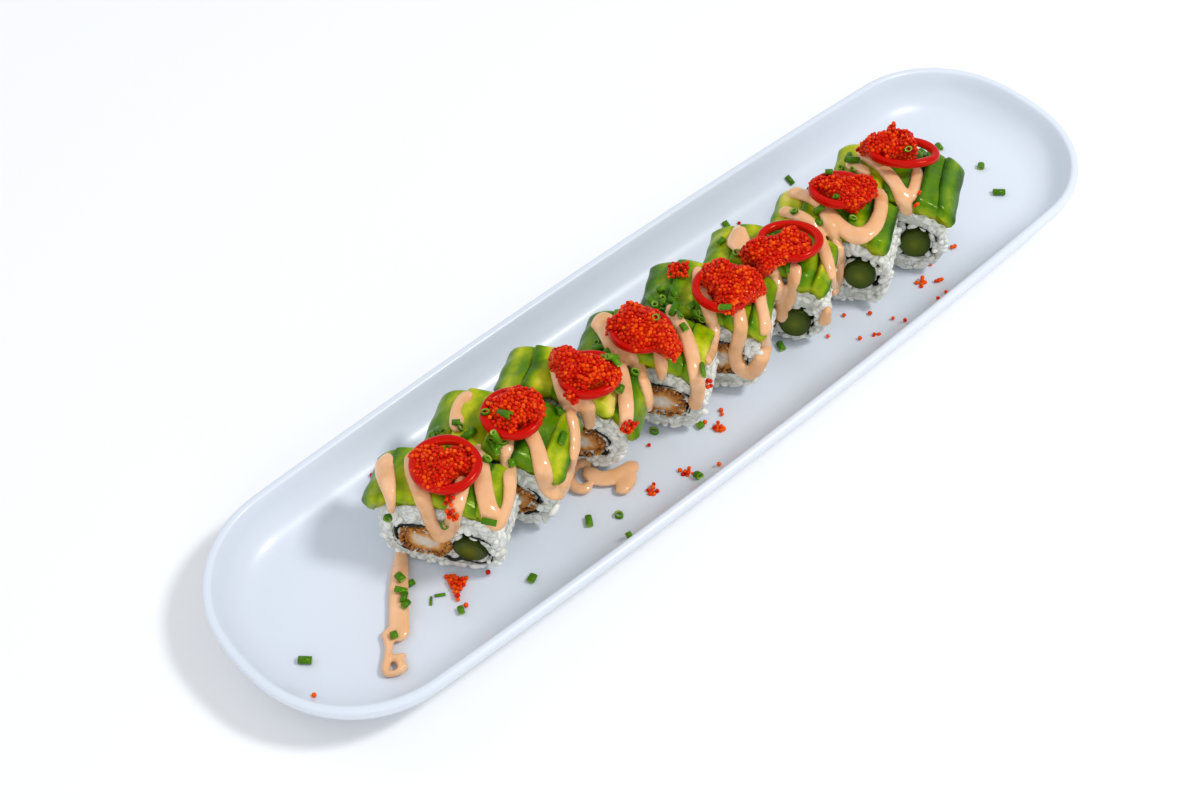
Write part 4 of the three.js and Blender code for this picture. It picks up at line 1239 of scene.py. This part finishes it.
def chives(name, spots, random, material):
    """Chive cuts at ((place, facing), half the spin, form), each lying on what is under it."""
    parts = []
    for (place, facing), spin, form in spots:
        points, faces, tones = chive_piece(random, form)
        if form != "ring":
            points = points[:, [2, 0, 1]]
        tones = np.clip(tones + random.uniform(-0.2, 0.15), 0, 1)
        parts.append((points @ turn_matrix(facing, spin * 2) + np.array(place), faces, tones))
    add_piece(name, parts, material)


def chives_on_slices(material):
    tree = surface_tree("avocado_", "sauce_", "rice_", "chili_", "roe_", "shrimp_", "plate_")
    random = np.random.default_rng(810)
    for number, spots in CHIVES.items():
        made = []
        for order, (x, y, spin) in enumerate(spots):
            form = ("tube", "wedge", "ring")[order % 3]
            made.append((rested(x, y, 0.6 if form == "ring" else 0.8, tree), spin, form))
        chives(f"chives_{number}", made, random, material)


def loose(roe_material, chive_material):
    """The roe and the chives that lie on the plate."""
    random = np.random.default_rng(820)
    tree = surface_tree("plate_", "sauce_")
    centres = [np.array(rested(x, y, LOOSE_RADIUS, tree)[0]) for x, y in LOOSE_ROE["one"]]
    for x, y in LOOSE_ROE["few"]:
        centres.extend(cluster(on_plate(x, y, EGG_RADIUS), 6, 1.3, random))
    centres.extend(pile(LOOSE_PILE, random))
    # The loose eggs get a lighter tone than the heaped ones: painted light.
    balls("roe_loose", np.array(centres), random, roe_material, LOOSE_RADIUS, LOOSE_PAINTED_LIGHT)
    spots = [(rested(x, y, CHIVE_WIDENS[form] * 1.05 if form != "ring" else 0.7, tree), spin, form)
             for x, y, spin, form in LOOSE_CHIVES]
    chives("chives_loose", spots, random, chive_material)


def floor():
    mesh = bpy.data.meshes.new("floor")
    corners = [(-1, -1), (1, -1), (1, 1), (-1, 1)]
    mesh.from_pydata([(x * FLOOR_HALF, y * FLOOR_HALF, 0) for x, y in corners], [], [(0, 1, 2, 3)])
    piece = bpy.data.objects.new("floor", mesh)
    bpy.context.scene.collection.objects.link(piece)
    material = shader("floor", 0.7)
    material.node_tree.nodes["Principled BSDF"].inputs["Base Color"].default_value = FLOOR_COLOUR
    mesh.materials.append(material)


def light(name, place, aim, size, power, colour):
    data = bpy.data.lights.new(name, "AREA")
    data.shape = "SQUARE"
    data.size = size
    data.energy = power
    data.color = colour
    lamp = bpy.data.objects.new(name, data)
    lamp.location = place
    lamp.rotation_euler = (Vector(aim) - Vector(place)).to_track_quat("-Z", "Y").to_euler()
    bpy.context.scene.collection.objects.link(lamp)


def studio():
    world = bpy.data.worlds.new("studio")
    world.use_nodes = True
    world.node_tree.nodes["Background"].inputs["Color"].default_value = SKY_COLOUR
    world.node_tree.nodes["Background"].inputs["Strength"].default_value = SKY_STRENGTH
    bpy.context.scene.world = world
    for name, values in LIGHTS.items():
        light(name, *values)
    bpy.context.scene.view_settings.view_transform = "Standard"


def camera():
    place, forward, right, up = camera_axes()
    data = bpy.data.cameras.new("camera")
    data.lens = CAMERA_LENS
    data.sensor_width = CAMERA_SENSOR
    made = bpy.data.objects.new("camera", data)
    made.location = place * MM
    made.rotation_euler = forward.to_track_quat("-Z", "Y").to_euler()
    bpy.context.scene.collection.objects.link(made)
    bpy.context.scene.camera = made


plate(porcelain())
SLICE_PARTS = [
    (100, rice, rice_look()), (200, nori, nori_look()), (300, shrimp, shrimp_look()),
    (400, asparagus, asparagus_look()), (500, avocado, avocado_look()), (600, chili, chili_look()),
]
sauce_material = sauce_look()
roe_material = roe_look()
chive_material = chive_look()
for order, slice_ in enumerate(SLICES):
    for seed, make, material in SLICE_PARTS:
        make(slice_, np.random.default_rng(seed + order + 1), material)
sauce(sauce_material)
carriers = surface_tree("avocado_", "sauce_", "rice_", "chili_", "plate_")
for number in HEAPS:
    roe(number, carriers, roe_material)
small_heaps(carriers, roe_material)
pool("sauce_trail", TRAIL, sauce_material)
pool("sauce_puddle", PUDDLE, sauce_material)
chives_on_slices(chive_material)
loose(roe_material, chive_material)
floor()
studio()
camera()
